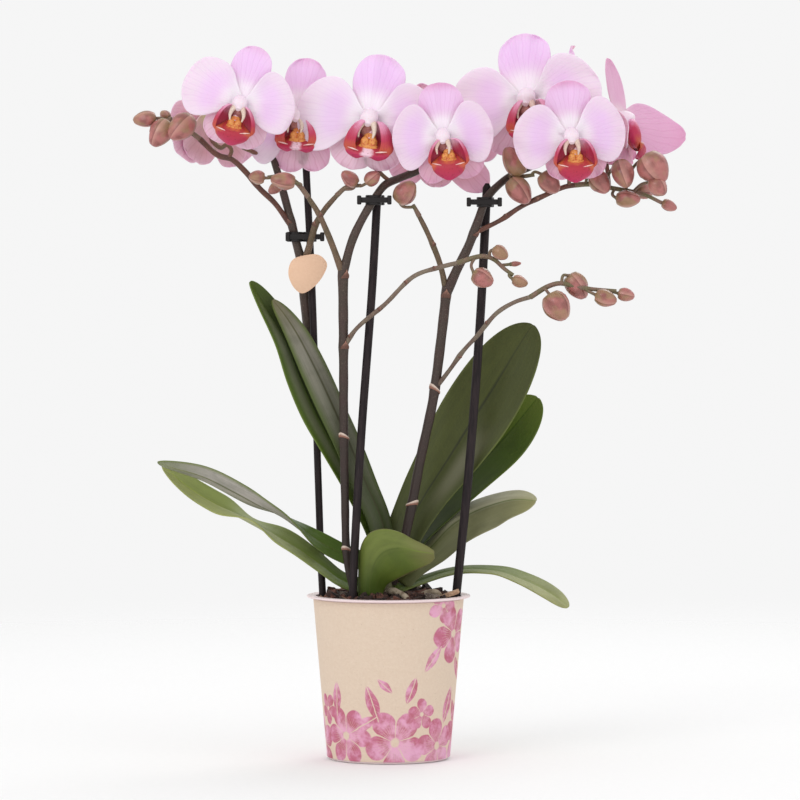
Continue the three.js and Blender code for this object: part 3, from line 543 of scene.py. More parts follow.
def buildBark():
    rim, middle, rise, count = (barkSize[key] for key in ("edge", "middle", "rise", "chips"))
    edge = potRadius(rim) - potSize["wall"] - fitGap
    floor = potSize["floor"] + fitGap
    profile = [(0, floor), (potRadius(floor) - 1.3, floor), (edge, rim - barkSize["sunk"])]
    profile += [
        (edge * (1 - step / 14), blend(rim, middle, ease(step, 0, 14)) - barkSize["sunk"]) for step in range(1, 15)
    ]
    bed = spun(profile, 96)
    for vertex in bed.data.vertices:
        if vertex.co.z > barkSize["roughFrom"] * mm:
            lump = barkSize["lump"] * mm * noise.noise(vertex.co * barkSize["lumps"])
            vertex.co.z += lump + rise * vertex.co.y
    bedFinish, *finishes = [barkFinish(name, *tones) for name, tones in barkTones.items()]
    wear(smoothShade(bed), bedFinish)

    model = makeChip()
    chips = []

    def addChip(place, turn, size, kind):
        chips.append(wear(copyOf(model, shifted(place, turn, size)), finishes[kind]))

    for index in range(count):
        size = dice.uniform(0.4, 1.0) * barkSize["longest"]
        reach = (edge - 0.5 * size) * math.sqrt((index + 0.5) / count)
        angle = index * goldenAngle
        x, y = reach * math.cos(angle), reach * math.sin(angle)
        fall = (middle - rim) * (reach / edge) ** 2
        height = middle - fall + rise * y + dice.uniform(-1.2, 1.6)
        turn = Matrix.Rotation(dice.uniform(0, 6.3), 4, "Z") @ Matrix.Rotation(dice.uniform(-0.8, 0.8), 4, "Y")
        kind = dice.choices((0, 1, 2, 3), (6, 4, 0.4, 0.9))[0]
        addChip((x, y, height), turn, (size, size * dice.uniform(0.4, 0.65), size * dice.uniform(0.25, 0.45)), kind)
    for place, lean, size, kind in bigChips:
        addChip(place, Matrix.Rotation(lean, 4, "Y"), size, kind)
    bpy.data.objects.remove(model)
    deliver([bed], "bark_bed", "bark", "substrate")
    deliver(chips, "bark_chips", "bark", "substrate")
    print("bark made")


# Stakes ------

# Each stake: its radius and its route.
stakes = {
    "stake_left": (2.0, [(-31, 4, 25), (-36.2, 7, 87), (-38.8, 9, 153), (-42.2, 13, 258), (-45.8, 15, 331)]),
    "stake_middle": (2.3, [(-20.5, -17, 25), (-19.6, -17, 89), (-15, -10, 176), (-9, -3, 258), (-6, 2, 312)]),
    "stake_right": (2.45, [(31, -2, 25), (37, -3, 88), (44.2, 0, 159), (50.4, 6, 241), (54.3, 10, 316)]),
}


def stakeFinish():
    finish = Finish("stakeBrown")
    x, y, z = finish.split(finish.place())
    streaks = finish.noise(0.0012, finish.join(x, y, z * 0.06), detail=4, roughness=0.6)
    tone = finish.mix(streaks.ease(0.35, 0.65), (24, 17, 20), (44, 34, 36))
    height = streaks * 0.8 + finish.noise(0.0009) * 0.2
    return finish.dress(tone, 0.46 + 0.2 * streaks, height, 0.00018, {"Specular IOR Level": 0.22})


def buildStakes():
    finish = stakeFinish()
    for name, (radius, points) in stakes.items():
        def radiusAt(share):
            # rounded off at the top
            return radius * (1 - 0.55 * ease(share, 0.992, 1))

        stick = tubes([(Route(points), radiusAt, 120)], 6)
        deliver([wear(stick, finish)], name.replace("stake", "stick"), "stake", name)
    print("stakes made")


# Flower spikes ------

# Each spike: its stems as routes with the radius at either end and their skin, the short papery sheaths on
# them (stem, share of its length) and the small dry scales at their forks.
spikes = {
    "spike_left": {
        "stems": [
            ([(-3, 13, 80), (-5, 17, 113), (-9.1, 18, 131), (-20.2, 18, 169), (-32.3, 18, 202), (-42.3, 18, 227),
              (-46.2, 16, 250), (-47.2, 14, 273)], (2.4, 2.7), "stem"),
            ([(-47, 14, 270), (-50.5, 13, 282), (-53.2, 12, 293), (-59.3, 11, 316), (-66.5, 13, 340)], (2.6, 1.8),
             "stem"),
            ([(-53.4, 12, 292), (-62.5, 8, 305), (-70.7, 4, 313), (-78.8, 2, 322.6), (-86, 4, 329), (-94, 8, 331.5),
              (-103.9, 10, 340.4)], (1.5, 1.6), "russet"),
            ([(-47, 14, 270), (-43.3, 9, 282.5), (-39.9, 5, 293.5), (-34.9, 2, 301.7), (-27.7, 0, 309.9)],
             (2.2, 1.3), "tan"),
        ],
        "sheaths": [(0, 0.42)],
        "scales": [(1, 0.05), (1, 0.36), (2, 0.45), (3, 0.55)],
    },
    "spike_middle": {
        "stems": [
            ([(-17, -7, 60), (-19.4, -8, 92.5), (-22.7, -9, 110), (-23.8, -9, 143), (-24.4, -8, 176),
              (-24.6, -8, 228), (-24.9, -8, 268)], (1.9, 2.8), "stem"),
            ([(-24.9, -8, 266), (-31.5, -9, 284), (-38, -10, 298.8), (-44.6, -10, 309.2)], (2, 1.3), "tan"),
            ([(-24.9, -8, 266), (-20, -8, 284), (-14.5, -7, 296), (-7.9, -5, 307), (-1.9, -2, 314.9),
              (6.3, 3, 318.8), (16.2, 6, 323), (26.2, 9, 329.3), (36.7, 10, 336)], (2.5, 2), "stem"),
            ([(-24.4, -8, 226), (-17.8, -12, 236), (-1.9, -18, 249.7), (13.9, -20, 265), (28, -20, 269.9),
              (38.4, -20, 272.5)], (1.2, 1.2), "grey"),
        ],
        "sheaths": [(0, 0.265), (0, 0.56)],
        "scales": [(0, 0.8), (0, 0.985), (1, 0.72), (3, 0.09), (3, 0.37), (3, 0.62), (3, 0.83)],
    },
    "spike_right": {
        "stems": [
            ([(2, -1, 96), (6.3, -3, 110), (12.9, -4, 140), (17.8, -3, 166), (24.4, -2, 197), (28.8, 0, 230),
              (32.1, 2, 259)], (2.6, 2.8), "stem"),
            ([(32, 2, 255), (28.3, 2, 271.5), (21.7, 1, 288), (16.2, 0, 299)], (1.8, 1.3), "tan"),
            ([(32, 2, 256), (37.6, 1, 268.7), (43.7, 1, 281), (49, 2, 295), (53.6, 3, 307.2), (59.8, 7, 314.4),
              (68.1, 12, 320.6), (78.2, 16, 325), (89.4, 20, 332), (100.5, 22, 340.7)], (2.8, 1.6), "stem"),
            ([(48, 2, 289), (61.3, 1, 295.6), (72.3, 1, 302.8), (86, 0, 309.4), (97, 0, 314), (103, 0, 315)],
             (1.3, 1.4), "russet"),
            ([(26.2, -2, 204), (33.7, -6, 214), (40.7, -12, 224), (48.8, -16, 233), (59, -20, 245), (68.8, -22, 251),
              (78.1, -22, 254)], (1.2, 1.2), "grey"),
        ],
        "sheaths": [(0, 0.27), (0, 0.655)],
        "scales": [(0, 0.97), (1, 0.6), (2, 0.3), (3, 0.3), (3, 0.62), (4, 0.3), (4, 0.62)],
    },
}
# Each skin of a stem: ground, blush and specks.
skins = {
    "stem": ((68, 56, 49), (72, 55, 50), (110, 97, 84)),
    "russet": ((104, 66, 54), (86, 56, 48), (140, 104, 84)),
    "tan": ((108, 86, 68), (94, 80, 60), (144, 120, 96)),
    "grey": ((122, 108, 92), (112, 92, 80), (156, 140, 120)),
}
stemFoot = (38, 27, 25)  # what every skin darkens to near the pot


def stemFinish(name, ground, blush, speck):
    finish = Finish(name)
    blotch = finish.noise(0.007)
    fine = finish.noise(0.0007, roughness=0.6)
    height = finish.split(finish.place())[2]
    tone = finish.layers(
        ground,
        (blotch.ease(0.4, 0.62), blush),
        (fine.ease(0.56, 0.68) * 0.6, speck),
        ((1 - fine.ease(0.32, 0.42)) * 0.5, shaded(ground, 0.55)),
        (height.ease(0.27, 0.13) * 0.72, stemFoot),
    )
    return finish.dress(tone, 0.42 + 0.15 * fine, fine * 0.5 + blotch * 0.5, 0.0002, {"Specular IOR Level": 0.35})


def sheathFinish(name, edge, body):
    # papery at the upper edge, darker where it grips the stem
    finish = Finish(name)
    fine = finish.noise(0.0009, detail=4)
    along = finish.map("share")[0]
    tone = finish.mix((along + (fine - 0.5) * 0.5).ease(0.3, 0.8), body, edge)
    return finish.dress(tone, 0.6 + 0.1 * fine, fine, 0.0002)


def around(radius, angle, height):
    # a point of a model that is one unit in radius
    return Vector((radius * math.cos(angle), radius * math.sin(angle), height)) / mm


def makeSheath():
    # a short collar round its stem, standing along Z and higher on one side
    def pointAt(u, v):
        angle = math.pi * v
        slant = 0.5 + 0.5 * math.cos(angle)
        radius = 1.0 + 0.06 * math.sin(math.pi * (0.15 + 0.8 * u)) + 0.06 * u
        return around(radius, angle, -0.5 + u * (0.4 + 0.5 * slant**2) + 0.75 * slant)
    return thickened(sheet(pointAt, 6, 28), 0.08 / mm)


def makeScale():
    # a small dry triangle pressed to one side of its stem
    def pointAt(u, v):
        radius = 1.0 + 0.08 * math.sin(math.pi * min(1, u * 1.3)) + 0.08 * u
        return around(radius, v * 1.15 * (1 - u**1.4), -0.4 + 1.7 * u * (1 - 0.25 * v * v))
    return thickened(sheet(pointAt, 8, 8), 0.14 / mm)


def buildSpikes():
    finishes = {name: stemFinish(name + "Skin", *tones) for name, tones in skins.items()}
    models = [
        ("sheaths", makeSheath(), sheathFinish("sheathPaper", (208, 188, 174), (140, 96, 80)), 1.1),
        ("scales", makeScale(), sheathFinish("scaleDry", (150, 108, 92), (100, 66, 54)), 1.0),
    ]
    for name, shape in spikes.items():
        stems = [(Route(points), radii) for points, radii, skin in shape["stems"]]
        parts = []
        for index, (route, (first, last)) in enumerate(stems):
            knots = [at for kind in ("sheaths", "scales") for stem, at in shape[kind] if stem == index]
            length = route.lengths[-1]

            def radiusAt(share):
                swell = sum(0.22 * math.exp(-(((share - at) * length / 3) ** 2)) for at in knots)
                return blend(first, last, share) + swell + 0.06 * math.sin(share * length * 0.35)

            stem = tubes([(route, radiusAt, max(24, int(length / 1.6)))], 5)
            parts.append(wear(stem, finishes[shape["stems"][index][2]]))
        collars = []
        for kind, model, paper, tall in models:
            for index, at in shape[kind]:
                route, (first, last) = stems[index]
                size = blend(first, last, at) + 0.22
                turn = Matrix.Rotation(dice.uniform(-2.6, -0.5), 4, "Z")
                upright = Vector((0, 0, 1)).rotation_difference(route.heading(at)).to_matrix().to_4x4()
                matrix = shifted(route.at(at), upright @ turn, (size, size, size * tall))
                collars.append(wear(copyOf(model, matrix), paper))
        deliver(parts, name.replace("spike", "stem"), "stem", name)
        deliver(collars, name.replace("spike", "sheaths"), "stem", name)
    for kind, model, paper, tall in models:
        bpy.data.objects.remove(model)
    print("spikes made")


# Crown and roots ------

crownShape = {
    "stem": [(-3, -1, 70), (-4, -1, 90), (-3, 1, 106), (-2, 3, 118)],
    "radii": (8, 5.5),
    "roots": [
        [(-3, -3, 89), (1, -10, 92.6), (6, -16, 92), (10, -20, 89), (12, -22, 84)],
        [(2, -2, 88), (13, -7, 87.5), (21, -12, 91.6), (26.5, -13, 92), (31, -12, 85)],
        [(-6, 4, 91), (-14, 14, 94), (-20, 22, 90), (-23, 27, 82)],
        [(1, 4, 91), (12, 15, 93), (19, 22, 90), (21, 27, 82)],
    ],
    "rootRadius": 2,
}


def crownFinish():
    finish = Finish("crownSkin")
    height = finish.split(finish.place())[2]
    fine = finish.noise(0.002, detail=4)
    coats = (height.ease(0.088, 0.11), (72, 96, 38)), (fine.ease(0.45, 0.7) * 0.6, (60, 50, 34))
    return finish.dress(finish.layers((92, 82, 52), *coats), 0.5 + 0.2 * fine, fine, 0.0006)


def rootFinish():
    finish = Finish("rootSilver")
    patch = finish.noise(0.004, detail=4, roughness=0.6)
    fine = finish.noise(0.0006)
    coats = (patch.ease(0.35, 0.6), (164, 150, 130)), (fine.ease(0.55, 0.7) * 0.5, (84, 70, 56))
    return finish.dress(finish.layers((104, 88, 70), *coats), 0.8 + 0.1 * fine, patch * 0.6 + fine * 0.4, 0.0005)


def buildCrown():
    wide, narrow = crownShape["radii"]

    def ringed(share):
        # leaf sheaths wrap the stem in rings
        return blend(wide, narrow, share) * (0.94 + 0.08 * abs(math.sin(share * 11)))

    body = tubes([(Route(crownShape["stem"]), ringed, 60)], 8)
    routes = []
    for index, points in enumerate(crownShape["roots"]):
        def uneven(share, index=index):
            return crownShape["rootRadius"] * (1 - 0.2 * share) * (1 + 0.1 * math.sin(share * 19 + index * 2))

        routes.append((Route(points), uneven, 40))
    deliver([wear(body, crownFinish())], "crown_body", "crown", "crown")
    deliver([wear(tubes(routes, 5), rootFinish())], "roots", "crown", "crown")
    print("crown made")


# Leaves ------

# "foot" colours the leaf towards the crown: painted shade where the leaves crowd over each other.
# Each leaf: midrib, greatest width, the way its upper face looks along it, fold of its halves as a share
# of the half width, share of the width at its foot, where it is widest, how blunt it ends, and its colours.
# "near" colours the half on the right of the midrib seen from its foot, "far" the other half; the two
# tones are painted light and painted shade, for how each half faces the light.
# The front leaf is given by its two edges and how far it swells between them.
leaves = {
    "leaf_right_tall": {
        "midrib": [(2, 6, 105), (9, 9, 123), (19, 12, 142), (30, 14, 159), (42, 17, 178), (58, 21, 203),
                   (72, 24, 226), (80, 26, 238)],
        "width": 41, "faces": [(-0.35, -0.85, 0.4), (-0.25, -0.92, 0.3), (-0.2, -0.95, 0.1)],
        "fold": 0.14, "waist": 0.54, "widest": 0.62,
        "tones": {"near": (64, 70, 26), "far": (72, 78, 30), "foot": (60, 66, 26), "tip": (68, 74, 30),
                  "rib": (34, 38, 12), "margin": (104, 114, 54), "footShadeEnd": 0.4, "sheen": (116, 114, 92),
                  "sheenAt": (0.24, 0.5)},
    },
    "leaf_right_back": {
        "midrib": [(2, 9, 101), (10, 20, 118), (22.9, 27, 133), (42.4, 33, 152), (61.9, 38, 171.4), (76, 42, 188),
                   (83.4, 44, 197)],
        "width": 34, "faces": [(-0.4, -0.5, 0.8), (-0.3, -0.75, 0.6), (-0.2, -0.9, 0.3)],
        "fold": 0.16, "waist": 0.86, "widest": 0.66,
        "tones": {"near": (62, 82, 14), "far": (80, 98, 26), "foot": (42, 52, 10), "tip": (98, 114, 42),
                  "rib": (40, 57, 9), "margin": (108, 124, 50), "footShadeEnd": 0.62},
    },
    "leaf_right_side": {
        "midrib": [(5, 3, 97), (13, 7, 106), (23.5, 11, 115), (34.5, 13, 126.5), (45.5, 15, 133.5), (58, 14, 138.6),
                   (70, 10, 141.6), (81, 4, 141)],
        "width": 28, "faces": [(-0.1, -0.6, 0.75), (-0.1, -0.6, 0.75), (-0.1, -0.6, 0.75)],
        "fold": -0.3, "waist": 0.56, "widest": 0.56, "blunt": 2.8,
        "tones": {"near": (112, 112, 78), "far": (160, 157, 132), "foot": (74, 80, 34), "tip": (142, 140, 92),
                  "rib": (58, 75, 16), "margin": (160, 156, 120), "footShadeEnd": 0.6},
    },
    "leaf_right_arching": {
        "midrib": [(4, 0, 92.5), (15, 5, 96), (24, 9, 99), (33, 12, 101.5), (43, 12, 102.8), (55, 9, 102.5),
                   (63, 6, 101.5), (72, 2, 98.5), (82, -4, 94.5), (91, -10, 89.5), (98, -15, 84)],
        "width": 20, "faces": [(-0.2, -0.55, 0.8), (0, -0.15, 1), (0.4, -0.6, 0.7)],
        "fold": 0.08, "waist": 0.45, "widest": 0.66,
        "tones": {"near": (132, 138, 80), "far": (100, 116, 48), "foot": (72, 92, 26), "tip": (160, 160, 112),
                  "rib": (96, 110, 44), "margin": (150, 150, 100), "footShadeEnd": 0.6, "tipStart": 0.3},
    },
    "leaf_front": {
        "edges": (
            [(-16.5, -12, 88), (-16.6, -13, 98), (-16.2, -13, 109), (-14.8, -14, 118.5), (-10.4, -17, 125),
             (-2.4, -22, 127.6), (6.4, -27, 126), (12.8, -31, 122.6), (21.6, -36, 118.6), (25, -38, 116)],
            [(-3.5, -13.5, 88), (-2.6, -14, 92.6), (-0.4, -17, 96.6), (4.4, -22, 99.6), (10.4, -27.4, 103),
             (17, -32, 106.4), (22.8, -35.6, 109.6), (25.2, -37.6, 112.6)],
        ),
        "swell": 5,
        "tones": {"near": (86, 102, 34), "far": (108, 120, 54), "foot": (60, 80, 18), "tip": (112, 108, 64),
                  "rib": (76, 90, 30), "margin": (118, 100, 80), "footShadeEnd": 0.5},
    },
    "leaf_left_upper": {
        "midrib": [(-8, 2, 106), (-25, 1, 112), (-40.4, -2, 120.5), (-47.5, -3, 126), (-58.5, -4, 134),
                   (-70.5, -6, 140), (-83.2, -8, 147), (-101.3, -9, 156), (-126.5, -7, 163)],
        "width": 18, "faces": [(0.3, -0.85, 0.5), (0.3, -0.75, 0.6), (0.3, 0.05, 0.95), (0.35, 0.5, 0.8),
                               (0.35, 0.55, 0.75), (0.3, 0.55, 0.8)],
        "fold": 0.12, "waist": 0.7, "widest": 0.62,
        "tones": {"near": (64, 86, 14), "far": (72, 92, 18), "foot": (60, 84, 10), "tip": (100, 114, 60),
                  "rib": (82, 86, 38), "margin": (112, 120, 74), "under": (176, 171, 162), "footShadeEnd": 0.42},
    },
    "leaf_left_lower": {
        "midrib": [(-7, -1, 93), (-23.9, 0, 96.5), (-38, 0, 106.5), (-50, 0.5, 115), (-60.5, 2, 121), (-71, 4, 127),
                   (-83, 5, 133.4), (-96, 5, 139.8), (-107, 4, 146.4), (-116, 2, 153.5), (-124.5, 0, 161.5)],
        "width": 19.5, "faces": [(0.3, -0.7, 0.65), (0.35, -0.55, 0.75), (0.4, -0.58, 0.7), (0.45, -0.5, 0.75),
                                 (0.5, 0.02, 0.85), (0.4, -0.62, 0.7), (0.35, -0.7, 0.6), (0.3, -0.7, 0.6)],
        "fold": 0.2, "waist": 0.62, "widest": 0.52,
        "tones": {"near": (128, 140, 74), "far": (146, 153, 84), "foot": (56, 84, 16), "tip": (146, 152, 92),
                  "rib": (112, 126, 36), "margin": (164, 168, 108), "under": (150, 156, 98), "footShadeEnd": 0.46},
    },
    "leaf_left_tall": {
        "midrib": [(-4, 5, 112), (-11, 6.5, 130), (-21, 6.5, 152), (-31.5, 5.5, 173.5), (-40.5, 5, 191),
                   (-49, 4, 210), (-57, 2.5, 229.5), (-68.5, 0, 249), (-76, -2, 262)],
        "width": 22, "faces": [(0.3, -0.95, 0.1), (0.4, -0.9, 0.2), (0.7, -0.65, 0.3)],
        "fold": 0.34, "waist": 0.4, "widest": 0.55,
        "tones": {"near": (28, 35, 10), "far": (74, 94, 26), "foot": (70, 90, 21), "tip": (73, 90, 22),
                  "rib": (24, 30, 8), "margin": (106, 126, 52), "footShadeEnd": 0.2, "sheen": (112, 114, 92),
                  "sheenAt": (0.72, 0.95)},
    },
    "leaf_left_inner": {
        "midrib": [(-1.5, 0, 112), (-4, 0, 130), (-12.5, -1, 150), (-21, -1, 171), (-30.6, -1, 192.5),
                   (-40.5, -2, 214), (-50.8, -3, 234), (-58, -4, 245), (-63.5, -5, 252)],
        "width": 17.5, "faces": [(-0.6, 0.7, 0.3), (-0.6, 0.7, 0.3), (-0.4, 0.85, 0.3)],
        "fold": 0.16, "waist": 0.86, "widest": 0.5,
        "tones": {"near": (62, 66, 26), "far": (66, 69, 29), "foot": (46, 60, 14), "tip": (96, 90, 50),
                  "rib": (56, 54, 30), "margin": (77, 94, 21), "under": (150, 144, 133), "footShadeEnd": 1.0,
                  "marginFrom": 0.45},
    },
}
leafGrid = (40, 16)
leafThickness = 1.8
leafDefaults = {"under": (118, 134, 76), "marginFrom": 0.7, "tipStart": 0.6}


def leafFinish(name, given, underside):
    finish = Finish(name)
    tones = {**leafDefaults, **given}
    near, foot, margin, ribs, under = (tones[key] for key in ("near", "foot", "margin", "rib", "under"))
    u, v = finish.map("share")
    aside = abs(v - 0.5) * 2.0
    streaks = finish.noise(1.0, finish.join(u * 3.0, v * 52.0), roughness=0.6)
    broad = finish.noise(1.0, finish.join(u * 2.5, v * 5.0))
    blotch = finish.noise(0.016, detail=4, roughness=0.6)
    fine = finish.noise(0.0009)
    if underside:
        edge = aside.ease(tones["marginFrom"], 0.98) * 0.85
        rib = aside.ease(0.09, 0.02) * 0.8
        face = finish.layers(under, (broad.ease(0.35, 0.65) * 0.45, shaded(under, 0.84)),
                             (streaks.ease(0.42, 0.62) * 0.4, shaded(under, 0.72)))
    else:
        edge = aside.ease(0.93, 1.0) * 0.7
        rib = aside.ease(0.055, 0.012) * 0.75
        # the two halves' tones: painted light on one and painted shade on the other, for how each faces the light
        face = finish.layers(near, (v.ease(0.42, 0.58), tones["far"]),
                             (broad.ease(0.4, 0.7) * 0.35, shaded(near, 0.8)))
    if "sheen" in tones:
        beside, until = tones["sheenAt"]
        band = abs(v - beside).ease(0.22, 0.02) * u.ease(0.1, 0.26) * u.ease(until, until - 0.18)
        face = finish.mix(band * 0.7, face, tones["sheen"])
    face = finish.layers(
        face,
        (u.ease(tones["tipStart"], 1.0) * 0.8, tones["tip"]),
        (edge, margin),
        # painted shade towards the foot, where the leaves crowd over the crown
        (u.ease(tones["footShadeEnd"], 0.0) * (1 - 0.3 * aside), foot),
        (rib, finish.mix(u.ease(0.55, 0.85), ribs, shaded(ribs, 1.4))),
        (streaks.ease(0.45, 0.75) * 0.12, margin),
        (blotch.ease(0.5, 0.72) * 0.22, shaded(foot, 0.75)),
    )
    height = streaks * 0.35 + blotch * 0.6 + fine * 0.15
    return finish.dress(face, 0.4 + 0.14 * fine + 0.1 * blotch, height, 0.0003, {"Specular IOR Level": 0.3})


def leafWidth(share, shape):
    waist, widest = shape["waist"], shape["widest"]
    if share < widest:
        return blend(waist, 1, ease(share, 0, widest) ** 1.3)
    rest = (share - widest) / (1 - widest)
    return max(0.04, math.sqrt(max(0, 1 - rest ** shape.get("blunt", 2.3))))


def leafSurface(shape):
    phase = dice.uniform(0, 6.3)
    rolls = dice.uniform(1.6, 2.6)
    if "edges" in shape:
        outer, inner = (Route(points) for points in shape["edges"])

        def edgedAt(u, v):
            swell = shape["swell"] * (1 - v * v) * math.sin(math.pi * (0.16 + 0.74 * u))
            swell -= 0.9 * math.exp(-(((v - 0.25) / 0.12) ** 2)) * math.sin(math.pi * min(1, 1.3 * u)) ** 2
            return inner.at(u).lerp(outer.at(u), (v + 1) / 2) + Vector((-0.15, -0.8, 0.35)) * swell
        return edgedAt
    midrib = Route(shape["midrib"])
    facing = Route(shape["faces"])

    def pointAt(u, v):
        share = 1 - (1 - u) ** 1.5
        along = midrib.heading(share, 0.16)
        side = along.cross(facing.between(share)).normalized()
        up = side.cross(along)
        half = shape["width"] / 2 * leafWidth(share, shape)
        lift = half * shape["fold"] * abs(v) ** 1.4
        lift += 0.5 * abs(v) ** 3 * math.sin(share * rolls * 6.3 + phase + (1.3 if v > 0 else 0))
        lift -= 0.45 * math.exp(-((v * half / 1.1) ** 2)) * ease(share, 1, 0.9)
        return midrib.at(share) - side * (half * v) + up * lift
    return pointAt


def buildLeaves():
    along, across = leafGrid
    for name, shape in leaves.items():
        leaf = sheet(leafSurface(shape), along, across)
        # thinner towards the tip and the edges
        group = leaf.vertex_groups.new(name="thick")
        for vertex in leaf.data.vertices:
            row, column = divmod(vertex.index, along + 1)
            u, v = column / along, row * 2 / across - 1
            group.add([vertex.index], (1 - 0.62 * abs(v) ** 1.5) * (1 - 0.35 * u), "REPLACE")
        faces = [leafFinish(name + side, shape["tones"], side == "Under") for side in ("Upper", "Under")]
        thickened(leaf, leafThickness, *faces, vertex_group="thick", thickness_vertex_group=0.2)
        leaf.vertex_groups.clear()
        deliver([leaf], name.replace("leaf", "blade"), "leaf", name)
    print("leaves made")


# Blooms ------

# Each bloom: where its column starts, its size, how far it is turned to the viewer's right, nods forward
# and leans over in degrees, and its stalk from behind it to where it meets the spike. Then, for a bloom of
# size 1, its tepals: where they point (degrees from the viewer's right), their length, how far they reach to
# their upper and lower side and, on some, how full their shoulder is. "open" spreads the side lobes of the
# lip, "lip" is how far its lobes lie to the side and hang, and "blush" how pink the petals are.
blooms = {
    1: {
        "centre": (-80.8, -22, 358.6), "size": 1, "turn": 0, "nod": 4, "lean": 12,
        "stalk": [(-84, -7, 345), (-82, 0, 337.5), (-74, 7, 333), (-64, 11.5, 330)],
        "dorsal": (84, 32.5, 11.2, 11.2), "right": (5, 30.3, 19, 14.8), "left": (169, 33, 19, 15.5, 0.7),
        "lowRight": (-62, 25.5, 10.5, 10), "lowLeft": (-119, 25, 10, 10.5), "open": 0.9, "lip": (-0.4, 7.2),
    },
    2: {
        "centre": (-49.7, 4, 353.3), "size": 1.08, "turn": -8, "nod": 0, "lean": 4, "stalk": [(-64, 12.5, 337)],
        "dorsal": (83, 29.5, 10.6, 10.6), "right": (4, 32, 17, 16), "left": (196, 31, 18, 21),
        "lowRight": (-66, 30, 9.5, 9), "lowLeft": (-99, 29.5, 9, 10), "open": 0.12, "lip": (1.6, 4.5), "blush": 0.4,
    },
    3: {
        "centre": (-10.1, -10, 350.8), "size": 1.18, "turn": -6, "nod": 0, "lean": 8,
        "stalk": [(-9.5, -4, 328), (-3, -2, 320), (1, 0, 317)],
        "dorsal": (86, 30.4, 12.2, 12.2), "right": (4, 33, 17.5, 17), "left": (178, 34.8, 16.8, 19),
        "lowRight": (-62, 25, 10.5, 10), "lowLeft": (-116, 25.5, 10.5, 11.5), "open": 0.05, "lip": (1.8, 4.5),
        "blush": 0,
    },
    4: {
        "centre": (29.6, -26, 341.1), "size": 0.95, "turn": -3, "nod": 10, "lean": -2, "stalk": [(26.2, 8, 329.3)],
        "dorsal": (92, 30.4, 12.8, 12.8), "right": (1, 28.9, 20.3, 16.5), "left": (182, 29.2, 20, 18.6),
        "lowRight": (-50, 30, 10.5, 11), "lowLeft": (-109, 29, 8.5, 9), "open": 1, "lip": (3, 9), "blush": 0.75,
    },
    5: {
        "centre": (76.2, 2, 362.2), "size": 1.24, "turn": -10, "nod": -2, "lean": -2, "stalk": [(78, 16, 325)],
        "dorsal": (94, 29.4, 12, 12), "right": (6, 33.4, 17.6, 18), "left": (182, 35.5, 15.8, 19),
        "lowRight": (-58, 27, 10.5, 10.5), "lowLeft": (-125, 28, 10.5, 10.5), "open": 0.3, "lip": (2.6, 6),
        "blush": 0,
    },
    6: {
        "centre": (99.2, -24, 341.1), "size": 1.02, "turn": 2, "nod": 8, "lean": 0, "stalk": [(99, 0, 314.6)],
        "dorsal": (94, 29.4, 12.6, 12.6), "right": (6, 29.3, 20.3, 16.2), "left": (181, 31, 17.6, 18),
        "lowRight": (-55, 26.5, 9.5, 9.5), "lowLeft": (-108, 24.5, 8.5, 9), "open": 1, "lip": (2, 8.6),
        "blush": 0.75,
    },
    7: {
        "centre": (127.6, 12, 350.8), "size": 1.02, "turn": 60, "nod": -9, "lean": 0, "stalk": [(121, 0, 313.4)],
        "dorsal": (89, 34.6, 9.2, 9.2), "right": (-22, 46, 17, 12.5), "left": (196, 30, 14, 13),
        "lowRight": (-58, 27, 9.5, 9.5), "lowLeft": (-122, 27, 9.5, 9.5), "lip": (0, 8), "blush": 1,
        "sweep": 0.68, "curls": True, "dusky": True, "open": 0.15, "lipTurn": 28,
    },
    8: {
        "centre": (99, 38, 365), "size": 0.92, "turn": -92, "nod": 0, "lean": 0, "stalk": [(99.5, 22, 340)],
        "dorsal": (90, 30.5, 11, 11), "right": (2, 31, 19, 18), "left": (178, 31, 19, 18),
        "lowRight": (-58, 28, 10.5, 10.5), "lowLeft": (-122, 28, 10.5, 10.5), "lip": (0, 8), "blush": 0.4,
    },
    9: {
        "centre": (-97, 33, 353), "size": 1.1, "turn": -143, "nod": 0, "lean": -4,
        "stalk": [(-98, 19, 342), (-92.6, 12, 335.6), (-88.8, 7, 337), (-86.2, 4.4, 334), (-87.6, 4.4, 329.8)],
        "dorsal": (90, 25, 10.5, 10.5), "right": (-32, 30, 17, 15), "left": (212, 30, 17, 15),
        "lowRight": (-58, 27, 10.5, 10.5), "lowLeft": (-122, 27, 10.5, 10.5), "lip": (0, 6), "blush": 0.8,
    },
    10: {
        "centre": (29, 26, 338), "size": 1.08, "turn": 180, "nod": 12, "lean": 18, "stalk": [(36, 10, 335.6)],
        "dorsal": (82, 33.5, 10, 10), "right": (2, 30.5, 18, 17), "left": (178, 30.5, 18, 17),
        "lowRight": (-64, 24, 9, 9), "lowLeft": (-114, 34, 9, 9), "lip": (0, 4), "blush": 0.6,
    },
}
